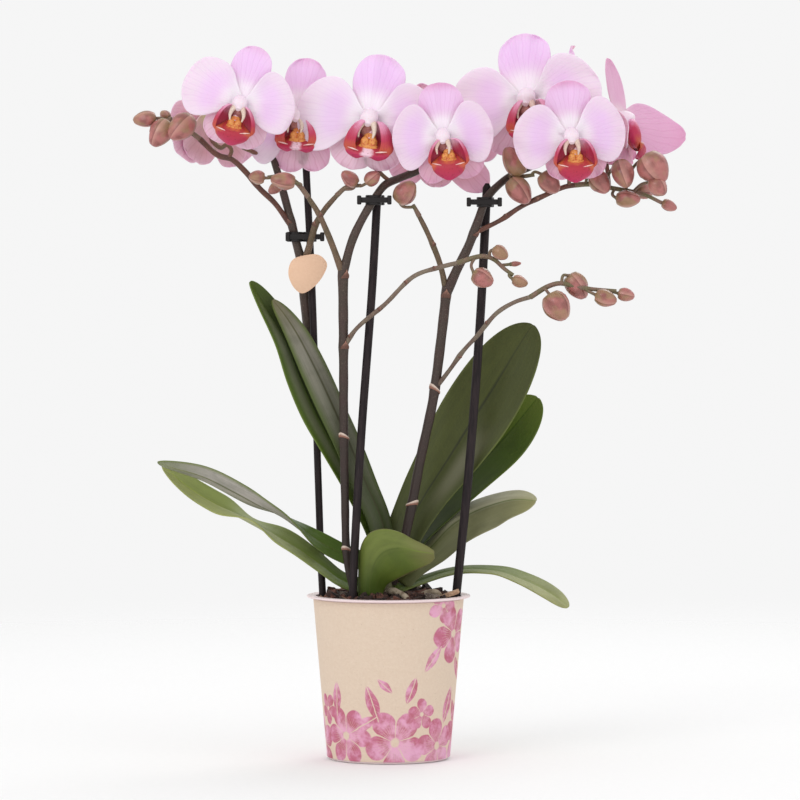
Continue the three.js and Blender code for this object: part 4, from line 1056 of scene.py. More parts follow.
# Each kind of tepal: share of the length, then of the half width on the upper and the lower side, up to the
# corners of the rounded end; how far forward it lies, how far the tip bends back and the edges come forward,
# and how much it waves and ruffles.
tepals = {
    "petal": {
        "outline": [(0, 0.08, 0.08), (0.08, 0.17, 0.18), (0.18, 0.4, 0.35), (0.27, 0.67, 0.53), (0.38, 0.9, 0.73),
                    (0.51, 1.0, 0.91), (0.66, 0.95, 1.0), (0.79, 0.78, 0.93), (0.89, 0.54, 0.7), (0.94, 0.37, 0.48)],
        "layer": 0.9, "back": 2.2, "cup": 0.6, "wave": 3.2, "ruffle": 0.7,
    },
    "sepal": {
        "outline": [(0.02, 0.5, 0.5), (0.16, 0.72, 0.72), (0.35, 0.89, 0.89), (0.57, 1.0, 1.0), (0.77, 0.93, 0.93),
                    (0.9, 0.69, 0.69), (0.955, 0.46, 0.46)],
        "layer": -0.9, "back": 2.8, "cup": -1.2, "wave": 3.2, "ruffle": 0.7,
    },
    "pointed": {
        "outline": [(0, 0.2, 0.6), (0.14, 0.56, 0.85), (0.3, 0.9, 1.0), (0.46, 1.0, 0.98), (0.7, 0.82, 0.84),
                    (0.87, 0.54, 0.56), (0.94, 0.38, 0.38), (0.98, 0.2, 0.2)],
        "layer": -0.4, "back": 2.2, "cup": 0.4, "wave": 0.8, "ruffle": 0.15,
    },
}
tepalThickness = 0.72
flatScale = 80.0  # millimetres of a tepal laid flat that its map holds
# Tones of each kind of tepal, plain and flushed. "patch" is where its middle tone begins, is full, fades and ends.
tepalTones = {
    "dorsal": (
        {"heart": (249, 234, 249), "margin": (236, 206, 236), "middle": (236, 196, 242), "tip": (230, 190, 222),
         "vein": (210, 156, 214), "tipShare": 0.7, "patch": (9, 19, 30, 40), "fade": 0.3, "veins": 30,
         "veinShare": 0.26},
        {"heart": (249, 234, 248), "margin": (224, 178, 208), "middle": (234, 194, 230), "tip": (208, 140, 176),
         "vein": (204, 136, 184), "tipShare": 0.9, "patch": (9, 18, 22, 34), "fade": 0.3, "veins": 30,
         "veinShare": 0.28},
    ),
    "petal": (
        {"heart": (252, 238, 252), "margin": (239, 217, 236), "middle": (239, 203, 243), "tip": (237, 212, 231),
         "vein": (214, 166, 224), "tipShare": 0.5, "patch": (7, 16, 18, 28), "fade": 0.9, "veins": 34,
         "veinShare": 0.17},
        {"heart": (252, 237, 251), "margin": (235, 208, 228), "middle": (235, 196, 239), "tip": (230, 198, 219),
         "vein": (208, 152, 214), "tipShare": 0.6, "patch": (7, 16, 18, 28), "fade": 0.8, "veins": 34,
         "veinShare": 0.2},
    ),
    "lower": (
        {"heart": (236, 216, 224), "margin": (228, 192, 210), "middle": (228, 194, 208), "tip": (224, 180, 202),
         "vein": (194, 126, 146), "tipShare": 0.6, "patch": (7, 16, 22, 34), "fade": 0.5, "veins": 26,
         "veinShare": 0.42},
        {"heart": (228, 200, 206), "margin": (218, 164, 190), "middle": (218, 166, 184), "tip": (212, 150, 180),
         "vein": (182, 104, 130), "tipShare": 0.6, "patch": (7, 16, 22, 34), "fade": 0.5, "veins": 26,
         "veinShare": 0.42},
    ),
    "dusk": (
        {"heart": (232, 200, 214), "margin": (216, 166, 194), "middle": (222, 172, 200), "tip": (208, 150, 180),
         "vein": (200, 136, 166), "tipShare": 0.7, "patch": (6, 12, 18, 32), "fade": 0.5, "veins": 30,
         "veinShare": 0.34},
    ) * 2,
    "back": (
        {"heart": (200, 184, 144), "margin": (228, 184, 200), "middle": (214, 164, 172), "tip": (228, 182, 200),
         "vein": (190, 124, 138), "tipShare": 0.6, "patch": (6, 12, 18, 32), "fade": 0.5, "veins": 26,
         "veinShare": 0.4},
    ) * 2,
}


def tepalFinish(name, tones):
    finish = Finish(name)
    across, along = finish.map("flat")
    u, v = finish.map("share")
    x = (across - 0.5) * flatScale
    y = along * flatScale
    reach = finish.length(x, y)
    wander = finish.noise(11.0, finish.join(x, y), detail=2)
    lines = finish.maths("ARCTAN2", x, y + 5.0) * tones["veins"] + (wander - 0.5) * 3.2
    forks = finish.wave(lines * 2.0 + 0.7).ease(0.26, 0.0) * reach.ease(9.0, 18.0)
    veins = finish.wave(lines).ease(0.3, 0.0) * 0.8 + forks * 0.5
    cloud = finish.noise(8.0, finish.join(x, y))
    fine = finish.noise(0.0007, roughness=0.6)
    aside = abs(v - 0.5) * 2.0
    near, full, fading, gone = tones["patch"]
    patch = reach.ease(near, full) * reach.ease(gone, fading) * (1 - aside.ease(0.35, 0.95) * tones["fade"])
    inked = veins * reach.ease(4.0, 12.0) * (1 - aside.ease(0.55, 1.0) * 0.85) * (0.4 + 1.2 * wander)
    tone = finish.layers(
        tones["heart"],
        (reach.ease(7.0, 20.0), tones["margin"]),
        (patch * (0.6 + 0.8 * cloud), tones["middle"]),
        (u.ease(0.6, 1.0) * tones["tipShare"] * (0.6 + 0.8 * cloud), tones["tip"]),
        (inked * tones["veinShare"], tones["vein"]),
    )
    more = {"Subsurface Weight": 0.3, "Subsurface Radius": (0.004, 0.0026, 0.0036), "Subsurface Scale": 1.0,
            "Specular IOR Level": 0.35}
    return finish.dress(tone, 0.52 + 0.12 * fine, veins * 0.35 + fine * 0.2 + cloud * 0.45, 0.00025, more)


def columnFinish():
    finish = Finish("columnCream")
    fine = finish.noise(0.0009)
    speck = finish.noise(0.0006, detail=2).ease(0.62, 0.72) * 0.3
    tone = finish.layers((244, 230, 240), (fine, (238, 216, 228)), (speck, (230, 190, 160)))
    more = {"Subsurface Weight": 0.15, "Subsurface Radius": (0.002, 0.0012, 0.0014)}
    return finish.dress(tone, 0.4 + 0.1 * fine, fine, 0.00015, more)


def placeOf(shape):
    # the matrix of a bloom: its own X is to the viewer's right, Y up and Z out of its face, in millimetres
    upright = Matrix(((1, 0, 0, 0), (0, 0, -1, 0), (0, 1, 0, 0), (0, 0, 0, 1)))
    return (
        Matrix.Translation(shape["centre"])
        @ Matrix.Rotation(math.radians(shape["turn"]), 4, "Z")
        @ Matrix.Rotation(math.radians(shape["nod"]), 4, "X")
        @ upright
        @ Matrix.Rotation(math.radians(-shape["lean"]), 4, "Z")
        @ Matrix.Scale(shape["size"], 4)
    )


def faceOf(shape):
    # the same for its column and lip, which turn a little further on some
    return placeOf(shape) @ Matrix.Rotation(math.radians(shape.get("lipTurn", 0)), 4, "Y")


def flipped(piece):
    return edited(piece, (bpy.ops.mesh.flip_normals, {}))


def makeTepal(kind, fit, sweep, place, seed):
    tepal = tepals[kind]
    angle, length, upper, lower, *fuller = fit
    shoulder = 1 - 0.6 * sum(fuller)
    mirror = abs(angle) > 90
    turn = math.radians(angle)
    out = Vector((math.cos(turn), math.sin(turn), 0))
    side = Vector((-math.sin(turn), math.cos(turn), 0)) * (-1 if mirror else 1)
    outline = Route(tepal["outline"])
    cap = 1 - tepal["outline"][-1][0]

    def flatAt(u, v):
        edge = outline.at(u)
        far = edge.x + cap * (1 - v * v) * u**5
        wander = 1 + 0.09 * v * v * noise.noise(Vector((u * 3.1, v * 2.0, seed * 5.3)))
        return far, v * wander * (max(0.05, edge.y) ** shoulder * upper if v > 0 else edge.z * lower)

    def pointAt(u, v):
        far, aside = flatAt(u, v)
        curl = tepal["cup"] * v * v * math.sin(math.pi * min(1, far)) - tepal["back"] * far**2.4
        wave = noise.noise(Vector((u * 1.9, v * 1.4, seed * 3.7))) * tepal["wave"] * far
        ruffle = tepal["ruffle"] * abs(v) ** 4 * math.sin(u * 8 + seed * 1.9 + (2 if v > 0 else 0)) * far
        crease = -0.6 * math.exp(-((aside / 1.6) ** 2)) * (1 - far)
        flat = out * (far * length * math.sqrt(1 - (sweep * min(1, far)) ** 2)) + side * aside
        flat.z = tepal["layer"] * (0.3 + 0.7 * ease(far, 0.05, 0.45)) + curl + wave + ruffle + crease
        flat.z += length * sweep * far**2 * 0.8
        return place @ flat

    def mapAt(u, v):
        far, aside = flatAt(u, v)
        return 0.5 + aside / flatScale, far * length / flatScale

    blade = sheet(pointAt, 20, 16, mapAt)
    return flipped(blade) if mirror else blade


def makeColumn(place, size):
    # the column with its rounded cap
    def radiusAt(share):
        return size * (blend(3.2, 4.1, ease(share, 0, 0.6)) - 2.8 * ease(share, 0.74, 1.0))

    return tubes([(Route([(0, 1.4, -3), (0, 0.9, 2), (0, -0.8, 5), (0, -3, 7)], place), radiusAt, 28)], 6)


def mirrored(points, place, radiusAt, steps):
    # the same short stem on either side
    return [(Route([(hand * x, y, z) for x, y, z in points], place), radiusAt, steps) for hand in (-1, 1)]


def makeTeeth(place, size):
    # the wings down either side of the hollow under the cap
    wing = [(1.9, -1.2, 5), (3.1, -3.4, 6.2), (3.7, -6, 7.2), (3.3, -9.2, 8)]
    return tubes(mirrored(wing, place, lambda share: size * (1.7 - 1.35 * share**1.3), 14), 4)


def stalkRadius(share):
    # swollen where it leaves the bloom
    return 1.6 - 0.5 * share + 0.5 * math.exp(-((share / 0.12) ** 2))


def makeKnob(place, middle, radii):
    bpy.ops.mesh.primitive_uv_sphere_add(segments=20, ring_count=12, radius=1)
    knob = active()
    knob.data.uv_layers[0].name = "share"
    for vertex in knob.data.vertices:
        vertex.co *= 1 + 0.12 * noise.noise(vertex.co * 2.2 + Vector(middle))
    rounding = Matrix.Translation(middle) @ Matrix.Diagonal((*radii, 1))
    knob.data.transform(Matrix.Scale(mm, 4) @ place @ rounding)
    return smoothShade(knob)


def toned(plain, flushed, share):
    mixed = {}
    for key, value in plain.items():
        if isinstance(value, tuple):
            mixed[key] = tuple(blend(a, b, share) for a, b in zip(value, flushed[key]))
        else:
            mixed[key] = blend(value, flushed[key], share)
    return mixed


def buildBlooms():
    finishes = {}

    def finishFor(kind, share):
        key = f"{kind}{int(share * 100)}"
        if key not in finishes:
            finishes[key] = tepalFinish(key, toned(*tepalTones[kind], share))
        return finishes[key]

    cream = columnFinish()
    tan = stemFinish("columnTeeth", (226, 206, 190), (220, 190, 178), (240, 226, 212))
    # the knob in the hollow under the cap: its own colour darkened with painted shade of the hollow
    hollowShade = stemFinish("columnHollowShade", (166, 110, 104), (140, 76, 78), (190, 140, 126))
    green = stemFinish("flowerStalk", (112, 92, 68), (122, 84, 72), (150, 126, 98))
    kinds = {"dorsal": "dorsal", "lowRight": "lower", "lowLeft": "lower", "right": "petal", "left": "petal"}
    for number, shape in blooms.items():
        place = placeOf(shape)
        face = faceOf(shape)
        size = shape["size"]
        blush = shape.get("blush", 0.2)
        parts = []
        for index, (name, kind) in enumerate(kinds.items()):
            outline = "petal" if kind == "petal" else "sepal"
            sweep = shape.get("sweep", 0) if kind == "petal" else 0
            if shape.get("dusky") and name in ("right", "dorsal"):
                kind, outline = "dusk", "pointed"
            blade = makeTepal(outline, shape[name], sweep, place, number * 5 + index)
            parts.append(thickened(blade, tepalThickness, finishFor(kind, blush), finishFor("back", 0)))
        parts.append(wear(makeColumn(face, size), cream))
        parts.append(wear(makeTeeth(face, size), tan))
        # a knob set in the hollow under the cap, its dusky tone partly painted shade of the hollow
        parts.append(wear(makeKnob(face, (0, -5.4, 4.2), (3.2, 3.4, 1.8)), hollowShade))
        foot = [place @ Vector((0, 0, -1)), place @ Vector((0, 0.5, -9))]
        stalk = tubes([(Route(foot + shape["stalk"]), stalkRadius, 40)], 4)
        deliver(parts, f"flower_{number}", "petal", f"bloom_{number}")
        deliver([wear(stalk, green)], f"flower_stalk_{number}", "stem", f"bloom_{number}")
    print("blooms made")


# Lips ------

# A side lobe down its length: share, height, reach of its free edge when it closes, greatest reach, and how
# deep it is cupped.
lobeShape = [(0, -0.8, 2.2, 4.4, 1.6), (0.12, -2.2, 3.4, 7, 3.2), (0.34, -5.8, 4.8, 9.7, 5.2),
             (0.56, -9.8, 5.6, 11.1, 5.8),
             (0.76, -12.8, 5.2, 11.5, 5), (0.92, -15, 3.8, 9.6, 3.4), (1, -16.2, 2.4, 6.6, 1.8)]
# The middle lobe: half width, height and depth down it, either a long shield or a short pair of wings.
shieldRows = {
    "long": [(3.4, -9, 4.4), (6, -11.6, 5.6), (9, -14, 8.2), (9.8, -15.4, 9.4), (9.6, -17.6, 10), (8.8, -20.4, 9.6),
             (7.4, -22.4, 8.8), (5.8, -23.6, 8.2), (3.8, -24.2, 7.8)],
    "short": [(3.4, -9, 4.4), (6.2, -11.6, 5.2), (9.4, -14, 7.2), (10.6, -15.8, 8.2), (10.2, -17.2, 8.4),
              (8, -18.6, 7.8), (5, -19.4, 7)],
}
# The orange callus: middle and radii of its knobs.
callusKnobs = [
    ((-1.8, -10.8, 7), (2.1, 2.5, 2.2)), ((1.8, -10.8, 7), (2.1, 2.5, 2.2)),
    ((0, -8.8, 5.2), (3, 2.4, 2)), ((0, -12.8, 7), (4.6, 2, 1.8)),
]


def lipFinish():
    # side lobes: u runs down them, v from the root in the throat round to the free edge
    finish = Finish("lipSide")
    u, v = finish.map("share")
    fine = finish.noise(0.0006)
    cloud = finish.noise(0.0022)
    down = u + (cloud - 0.5) * 0.26
    tone = finish.layers(
        (226, 160, 194),
        (down.ease(0.05, 0.38), (184, 32, 76)),
        (v.ease(0.4, 0.7) * down.ease(0.4, 0.68) * 0.9, (194, 84, 52)),
        (v.ease(0.3, 0.05) * down.ease(0.4, 0.7) * 0.6, (206, 104, 58)),
        (v.ease(0.3, 0.0) * u.ease(0.45, 0.15) * 0.8, (230, 198, 206)),
        (v.ease(0.6, 0.95) * u.ease(0.5, 0.1) * 0.7, (230, 160, 190)),
        (finish.wave(v * 46.0 + (cloud - 0.5) * 5.0).ease(0.45, 0.0) * 0.3, (146, 18, 48)),
    )
    more = {"Subsurface Weight": 0.12, "Subsurface Radius": (0.002, 0.0006, 0.0008)}
    return finish.dress(tone, 0.42 + 0.15 * fine, fine * 0.4 + cloud * 0.6, 0.0003, more)


def shieldFinish(name, pale):
    # the middle lobe: orange-brown corners, magenta middle and, on some, a white-pink heart
    finish = Finish(name)
    u, v = finish.map("share")
    aside = abs(v - 0.5) * 2.0
    fine = finish.noise(0.0006)
    cloud = finish.noise(0.0025)
    throat = (u + (cloud - 0.5) * 0.2).ease(0.32, 0.1) * (1 - aside.ease(0.3, 0.75) * 0.85)
    corner = (aside * 1.1 - abs(u - 0.34) * 1.6 + (cloud - 0.5) * 0.4).ease(0.45, 0.85)
    tone = finish.layers(
        (176, 34, 56),
        (u.ease(0.3, 0.95), (190, 36, 92)),
        (corner, (196, 92, 58)),
        (throat, (212, 112, 60)),
        ((aside - (cloud - 0.5) * 0.3).ease(0.34, 0.1) * pale, (240, 206, 220)),
        (finish.noise(0.0012, detail=1).ease(0.6, 0.68) * 0.5, (140, 16, 44)),
    )
    more = {"Subsurface Weight": 0.06, "Subsurface Radius": (0.0015, 0.0006, 0.0008)}
    return finish.dress(tone, 0.36 + 0.15 * fine, fine * 0.4 + cloud * 0.6, 0.0003, more)


def callusFinish():
    finish = Finish("callusOrange")
    speck = finish.noise(0.001, detail=2, roughness=0.7)
    fine = finish.noise(0.0005)
    tone = finish.layers((232, 164, 84), (fine, (214, 134, 68)), (speck.ease(0.5, 0.6) * 0.75, (196, 76, 52)))
    return finish.dress(tone, 0.35 + 0.15 * fine, speck, 0.0004)


def makeLobe(place, hand, shift, opened):
    # an upright side lobe that cups forward from the throat
    heights = Route([(share * 20, y, 0) for share, y, edge, reach, depth in lobeShape])
    reaches = Route([(edge, reach, depth) for share, y, edge, reach, depth in lobeShape])

    def pointAt(u, v):
        edge, reach, depth = reaches.between(u)
        edge = blend(edge, reach * 0.88, opened)
        swing = math.pi * (v + 1) / 2
        inner = 1.4 if v < 0 else edge
        x = inner + (reach - inner) * math.sin(swing)
        z = 6 + depth * (0.62 * (1 - math.cos(swing)) - 0.62)
        y = heights.between(u).y - 0.7 * (1 - math.cos(swing)) * u
        return place @ Vector((hand * x + shift, y, z))
    lobe = sheet(pointAt, 16, 12)
    return flipped(lobe) if hand > 0 else lobe


def makeShield(place, shift, drop):
    # from the throat out between the side lobes, then down
    kind = "short" if drop < 7 else "long"
    rows = Route(shieldRows[kind])
    slack = 0.1 * (10 - drop) if kind == "long" else 0

    def pointAt(u, v):
        half, y, z = rows.between(u)
        below = max(0, -15.2 - y)
        y += below * slack - 0.8 * math.cos(v * 1.5) + 1.4 * v * v * ease(u, 0.1, 0.5)
        if kind == "short":
            y += 2.6 * (1 - abs(v)) ** 1.5 * ease(u, 0.45, 0.9) + 0.8 * math.sin(abs(v) * 4) * ease(u, 0.5, 1)
        z += 1.6 * (1 - v * v) - 1.0 * abs(v) ** 3 - 0.9 * below * slack
        return place @ Vector((half * v + shift, y, z))
    return sheet(pointAt, 18, 14)


def buildLips():
    side = lipFinish()
    shields = {share: shieldFinish(f"lipMiddle{int(share * 10)}", share) for share in (0, 0.9)}
    orange = callusFinish()
    tendril = stemFinish("tendril", (150, 70, 78), (176, 84, 100), (200, 130, 130))
    # a pale tone for the painted highlights along the middle lobe's upper edges
    edgeHighlight = stemFinish("lipEdgeHighlight", (232, 186, 184), (238, 206, 198), (244, 220, 210))
    for number, shape in blooms.items():
        place = faceOf(shape)
        size = shape["size"]
        shift, drop = shape["lip"]
        beside = place @ Matrix.Translation((shift, 0, 0))
        opened = shape.get("open", 0.1)
        shield = shields[0.9 if drop < 7 else 0]
        parts = [thickened(makeLobe(place, hand, shift, opened), 0.8, side, side) for hand in (-1, 1)]
        parts.append(thickened(makeShield(place, shift, drop), 1.0, shield, shield))
        for (x, y, z), radii in callusKnobs:
            parts.append(wear(makeKnob(place, (x + shift, y, z), radii), orange))
        foot = Route([(-shift, -2.2, 1.4), (0, -6, 3.4), (0, -10, 5.4)], beside)
        parts.append(wear(tubes([(foot, lambda share: size * 2.2, 12)], 4), side))
        # painted highlights: pale thin tubes along the middle lobe's upper edges
        rim = [(4, -15.2, 10.9), (6.4, -14.7, 10.4), (9.2, -14.2, 9.2)]
        highlightTubes = mirrored(rim, beside, lambda share: size * (0.38 - 0.26 * abs(2 * share - 1)), 12)
        parts.append(wear(tubes(highlightTubes, 3), edgeHighlight))
        if shape.get("curls"):
            low = -14.4 - drop
            curl = [(0.6, low + 0.6, 9), (2, low - 1.4, 9.4), (4, low - 1.2, 10), (4.4, low + 0.8, 10.8),
                    (2.8, low + 1.4, 11.2)]
            curls = mirrored(curl, beside, lambda share: size * (0.42 - 0.26 * share), 18)
            parts.append(wear(tubes(curls, 3), tendril))
        deliver(parts, f"lip_{number}_lobes", "lip", f"lip_{number}")
    print("lips made")


# Buds ------

# Each spray: the stem end that carries it, and each bud's stalk foot, middle, heading, length and radius.
budSprays = {
    "buds_far_left": {
        "rachis": [(-102.9, 10, 339.6), (-110, 8, 345), (-118, 5, 349.5), (-127, 3, 351.2)],
        "buds": [
            ((-124, 4, 351), (-133.8, 2, 351), (-1, -0.1, -0.1), 13, 4.6),
            ((-120, 4.5, 350), (-125, -2, 343), (-0.5, -0.3, -0.8), 17, 6.4),
            ((-108, 8.5, 343.5), (-113.5, -7, 346), (-0.6, -0.5, -0.6), 18, 7),
            ((-119, 5, 349.5), (-123, 9, 353.5), (-0.6, 0.6, 0.5), 7, 2.8),
        ],
    },
    "buds_left": {
        "rachis": [(-43.8, -10, 308.2), (-50, -11.5, 315.8), (-57, -10, 319.6), (-66, -11, 319)],
        "buds": [
            ((-48, -11.3, 314), (-57.5, -17, 317), (-0.9, -0.2, 0.1), 14, 4.8),
            ((-50, -11.3, 315.8), (-62, -8, 313), (-0.8, 0.2, -0.6), 9, 3.2),
            ((-64, -10.5, 319.2), (-71.8, -12, 319), (-0.9, 0, 0.1), 9, 3.9),
        ],
    },
    "buds_middle": {
        "rachis": [(-28.5, 0.2, 309.2), (-22.8, -2, 313.8), (-15, -4.5, 314.6)],
        "buds": [
            ((-24.5, -1.4, 312.5), (-21.4, -5.5, 318.5), (-0.7, -0.2, 0.6), 11, 4.2),
            ((-16.5, -4, 314.4), (-8.6, -8.5, 318.6), (0.7, -0.3, 0.6), 9.5, 4.1),
        ],
    },
    "buds_centre": {
        "rachis": [(16.8, 0, 298), (13.5, -2.5, 304)],
        "buds": [((14.2, -1.8, 302.8), (9.4, -8, 311), (0.6, -0.3, 0.7), 14.5, 6.2)],
    },
    "buds_right": {
        "rachis": [(66.8, 11.5, 320), (68, 7, 319.8), (73, 2, 319.6), (80, 1, 320.5)],
        "buds": [
            ((68, 6.5, 319.8), (68.4, -1, 328), (-0.45, -0.3, 0.8), 18, 6.2),
            ((71, 3.4, 319.6), (71.8, -2, 311.5), (0.6, -0.3, -0.75), 17, 6.4),
            ((78, 1, 320.2), (88.4, -2.5, 316), (0.6, -0.2, -0.7), 14, 5.8),
        ],
    },
    "buds_far_right": {
        "rachis": [(102, 0, 314.9), (110.6, 0.5, 315.4), (122.7, 0.5, 313.2), (135.3, 0, 311), (142, 0, 309),
                   (150, 0, 305)],
        "buds": [
            ((108, 0.4, 315.3), (115.9, -7, 316), (0.5, -0.3, -0.7), 14, 5.8),
            ((118, 0.5, 314.4), (128.2, -11, 320.5), (0.2, -0.5, -0.7), 17, 6.3),
            ((130, 0.2, 312), (145, -12, 323.5), (0.4, -0.1, -0.6), 19, 8.6),
            ((134, 0, 311.2), (147, -15, 313.4), (0.5, -0.5, -0.5), 12, 5.2),
            ((124, 0.4, 312.8), (131.2, -7, 307.2), (0.9, -0.3, 0), 14, 4.8),
            ((136, 0, 310.8), (141, 7, 311.5), (0.6, 0.5, 0), 12, 4.4),
            ((148, 0, 306), (154, 0, 303.6), (0.9, 0, -0.4), 9, 3.2),
        ],
    },
    "buds_low_left": {
        "rachis": [(37.4, -20, 272.2), (50.9, -20, 275.9), (57, -20, 274.4), (63.4, -20, 268.8), (68, -20, 265.6)],
        "buds": [
            ((47, -20, 274.9), (51.4, -25.5, 263.8), (0.8, -0.2, -0.4), 12.5, 5.4),
            ((55, -20, 274.9), (61, -24, 277.6), (0.7, -0.3, -0.5), 9.5, 4),
            ((61, -20, 271), (69.4, -18, 271.8), (1, 0, 0.1), 6, 1.5),
            ((66, -20, 267), (71.6, -21.5, 262), (0.9, -0.1, -0.3), 9, 3.4),
        ],
    },
    "buds_low_right": {
        "rachis": [(77.1, -22, 253.6), (86.8, -22, 259.5), (93.3, -22, 261.2), (101.5, -22, 259.5), (111, -22, 258),
                   (124, -21.4, 257)],
        "buds": [
            ((84, -22, 257.8), (91.8, -27, 248.4), (0.5, -0.2, -0.8), 17, 7.6),
            ((94, -22, 261.2), (102.8, -17, 259.4), (0.55, 0.1, -0.8), 16, 6.2),
            ((107, -22, 258.6), (118.2, -24.5, 253), (0.9, -0.1, -0.3), 12.5, 4.7),
            ((121, -21.5, 257.2), (129.4, -20.5, 254.8), (0.95, 0, -0.2), 9.5, 3.8),
        ],
    },
}


def budFinish():
    # brown-pink with tan-green flanks, painted shade under the overlapping edges and a painted highlight along them
    finish = Finish("budSkin")
    u, v = finish.map("share")
    lap = finish.maths("FRACT", u * 3.0)
    blotch = finish.noise(0.005)
    fine = finish.noise(0.0007)
    fibres = finish.noise(1.0, finish.join(u * 44.0, v * 3.0), detail=2)
    tone = finish.layers(
        (176, 108, 104),
        (blotch.ease(0.35, 0.65), (140, 82, 76)),
        (finish.noise(0.011, detail=2).ease(0.47, 0.6) * 0.65, (154, 128, 88)),
        (v.ease(0.34, 0.0) * 0.75, (134, 114, 76)),
        # painted shade just under each overlapping edge
        ((lap.ease(0.14, 0.0) * 0.5) * v.ease(0.05, 0.3), (104, 60, 54)),
        # painted highlight on the raised part up to each overlapping edge
        (lap.ease(0.66, 0.98) * 0.6, (198, 146, 134)),
        (fibres.ease(0.55, 0.75) * 0.3, (190, 140, 124)),
    )
    height = fine * 0.25 + blotch * 0.45 + fibres * 0.3
    return finish.dress(tone, 0.3 + 0.16 * fine, height, 0.00035, {"Coat Weight": 0.12 + 0.1 * blotch})


def makeBud():
    # one closed bud, one unit long and wide, whose three outer tepals lap over each other
    bpy.ops.mesh.primitive_uv_sphere_add(segments=36, ring_count=20, radius=1)
    bud = active()
    bud.data.uv_layers[0].name = "share"
    for vertex in bud.data.vertices:
        share = math.acos(max(-1, min(1, -vertex.co.z))) / math.pi
        angle = math.atan2(vertex.co.y, vertex.co.x) % (2 * math.pi)
        girth = max(0.12, math.sin(math.pi * (0.1 + 0.84 * share) ** 0.85)) ** 0.75
        girth *= ease(share, -0.04, 0.04) * ease(share, 1.05, 0.93)
        lap = (angle + 1.1 * (share - 0.5)) * 3 / (2 * math.pi) % 1
        girth *= 1 + (0.1 * lap**1.5 - 0.05) * math.sin(math.pi * share)
        vertex.co = Vector((girth * math.cos(angle), girth * math.sin(angle), share - 0.5))
    return smoothShade(bud)


def buildBuds():
    skin = budFinish()
    green = stemFinish("budStalk", (108, 100, 72), (128, 100, 88), (150, 136, 108))
    model = makeBud()
    for name, shape in budSprays.items():
        routes = [(Route(shape["rachis"]), lambda share: 1.5 - 0.5 * share, 24)]
        buds = []
        for foot, middle, heading, length, radius in shape["buds"]:
            along = Vector(heading).normalized()
            base = Vector(middle) - along * (length * 0.44)
            bend = Vector(foot).lerp(base, 0.55) - along * (length * 0.16)
            routes.append((Route([foot, bend, base]), lambda share: 0.85 + 0.35 * ease(share, 0.8, 1), 16))
            upright = along.to_track_quat("Z", "Y").to_matrix().to_4x4()
            turn = upright @ Matrix.Rotation(dice.uniform(0, 6.3), 4, "Z")
            buds.append(wear(copyOf(model, shifted(middle, turn, (radius, radius, length))), skin))
        deliver(buds, name.replace("buds", "bud_heads"), "bud", name)
        deliver([wear(tubes(routes, 4), green)], name.replace("buds", "bud_stalks"), "stem", name)
    bpy.data.objects.remove(model)
    print("buds made")


# Clips and tag ------

# Each clip: its height, the stake and the stem that it holds, and where its bar ends.
clips = {
    "clip_left": {"height": 286.6, "stake": "stake_left", "spike": "spike_left", "stem": 1, "bar": (-55.5, -36.5)},
    "clip_middle": {"height": 306.6, "stake": "stake_middle", "spike": "spike_middle", "stem": 2, "bar": (-16, 0.5)},
    "clip_right": {"height": 305.6, "stake": "stake_right", "spike": "spike_right", "stem": 2, "bar": (44, 61)},
}
clipSize = {"barHeight": 3, "barDepth": 2.6, "sleeve": 5.5, "wall": 1.5, "stemRadius": 2.6}
tagShape = {
    "centre": (-44.4, 8.4, 266), "width": 21.5, "height": 21.5, "thickness": 0.9, "loop": 3,
    "outline": [(-0.5, 0.02), (-0.4, 0.36), (-0.05, 0.49), (0.29, 0.49), (0.49, 0.27), (0.4, -0.02), (0.16, -0.32),
                (-0.15, -0.49), (-0.36, -0.34)],
}


def clipFinish():
    finish = Finish("clipPlastic")
    fine = finish.noise(0.0008, detail=2)
    tone = finish.mix(fine, (20, 17, 18), (36, 31, 31))
    return finish.dress(tone, 0.35 + 0.15 * fine, fine, 0.0001, {"Specular IOR Level": 0.3})


def tagFinish():
    finish = Finish("tagCard")
    fibre = finish.noise(0.0012, detail=5, roughness=0.7)
    fine = finish.noise(0.0004)
    tone = finish.mix(fibre, (240, 204, 176), (226, 184, 152))
    return finish.dress(tone, 0.75 + 0.15 * fine, fibre * 0.5 + fine * 0.5, 0.00008)


def makeBlock(middle, size, bevel):
    bpy.ops.mesh.primitive_cube_add(size=1)
    block = active()
    block.data.transform(shifted(middle, size=size))
    return withModifiers(block, ("BEVEL", {"width": bevel * mm, "segments": 3}))


def makeRing(point, inner, outer, height):
    # a grooved ring round a stake or stem
    half = height / 2
    profile = [(inner, -half + 0.3), (inner + 0.3, -half), (outer - 0.3, -half), (outer, -half + 0.3), (outer, -0.5),
               (outer - 0.25, -0.25), (outer - 0.25, 0.25), (outer, 0.5), (outer, half - 0.3), (outer - 0.3, half),
               (inner + 0.3, half), (inner, half - 0.3), (inner, -half + 0.3)]
    ring = spun(profile, 40)
    ring.data.transform(Matrix.Translation(Vector(point) * mm))
    return ring


def buildClips():
    finish = clipFinish()
    deep, tall = clipSize["barDepth"], clipSize["barHeight"]
    for name, shape in clips.items():
        height = shape["height"]
        stakeRadius, stakePoints = stakes[shape["stake"]]
        stemPoints = spikes[shape["spike"]]["stems"][shape["stem"]][0]
        held = [(stakePoints, stakeRadius), (stemPoints, clipSize["stemRadius"])]
        held = [(Route(points).atHeight(height), radius) for points, radius in held]
        parts = [makeRing(point, radius + 0.2, radius + 0.35 + clipSize["wall"], clipSize["sleeve"])
                 for point, radius in held]
        depth = min(point.y for point, radius in held) - 2 - deep / 2
        left, right = shape["bar"]
        parts.append(makeBlock(((left + right) / 2, depth, height), (right - left, deep, tall), 0.4))
        parts += [makeBlock((x, depth, height), (2.4, deep + 1.6, tall + 2), 0.6) for x in shape["bar"]]
        deliver([wear(smoothShade(part, 35), finish) for part in parts], name + "_grip", "clip", name)
    print("clips made")


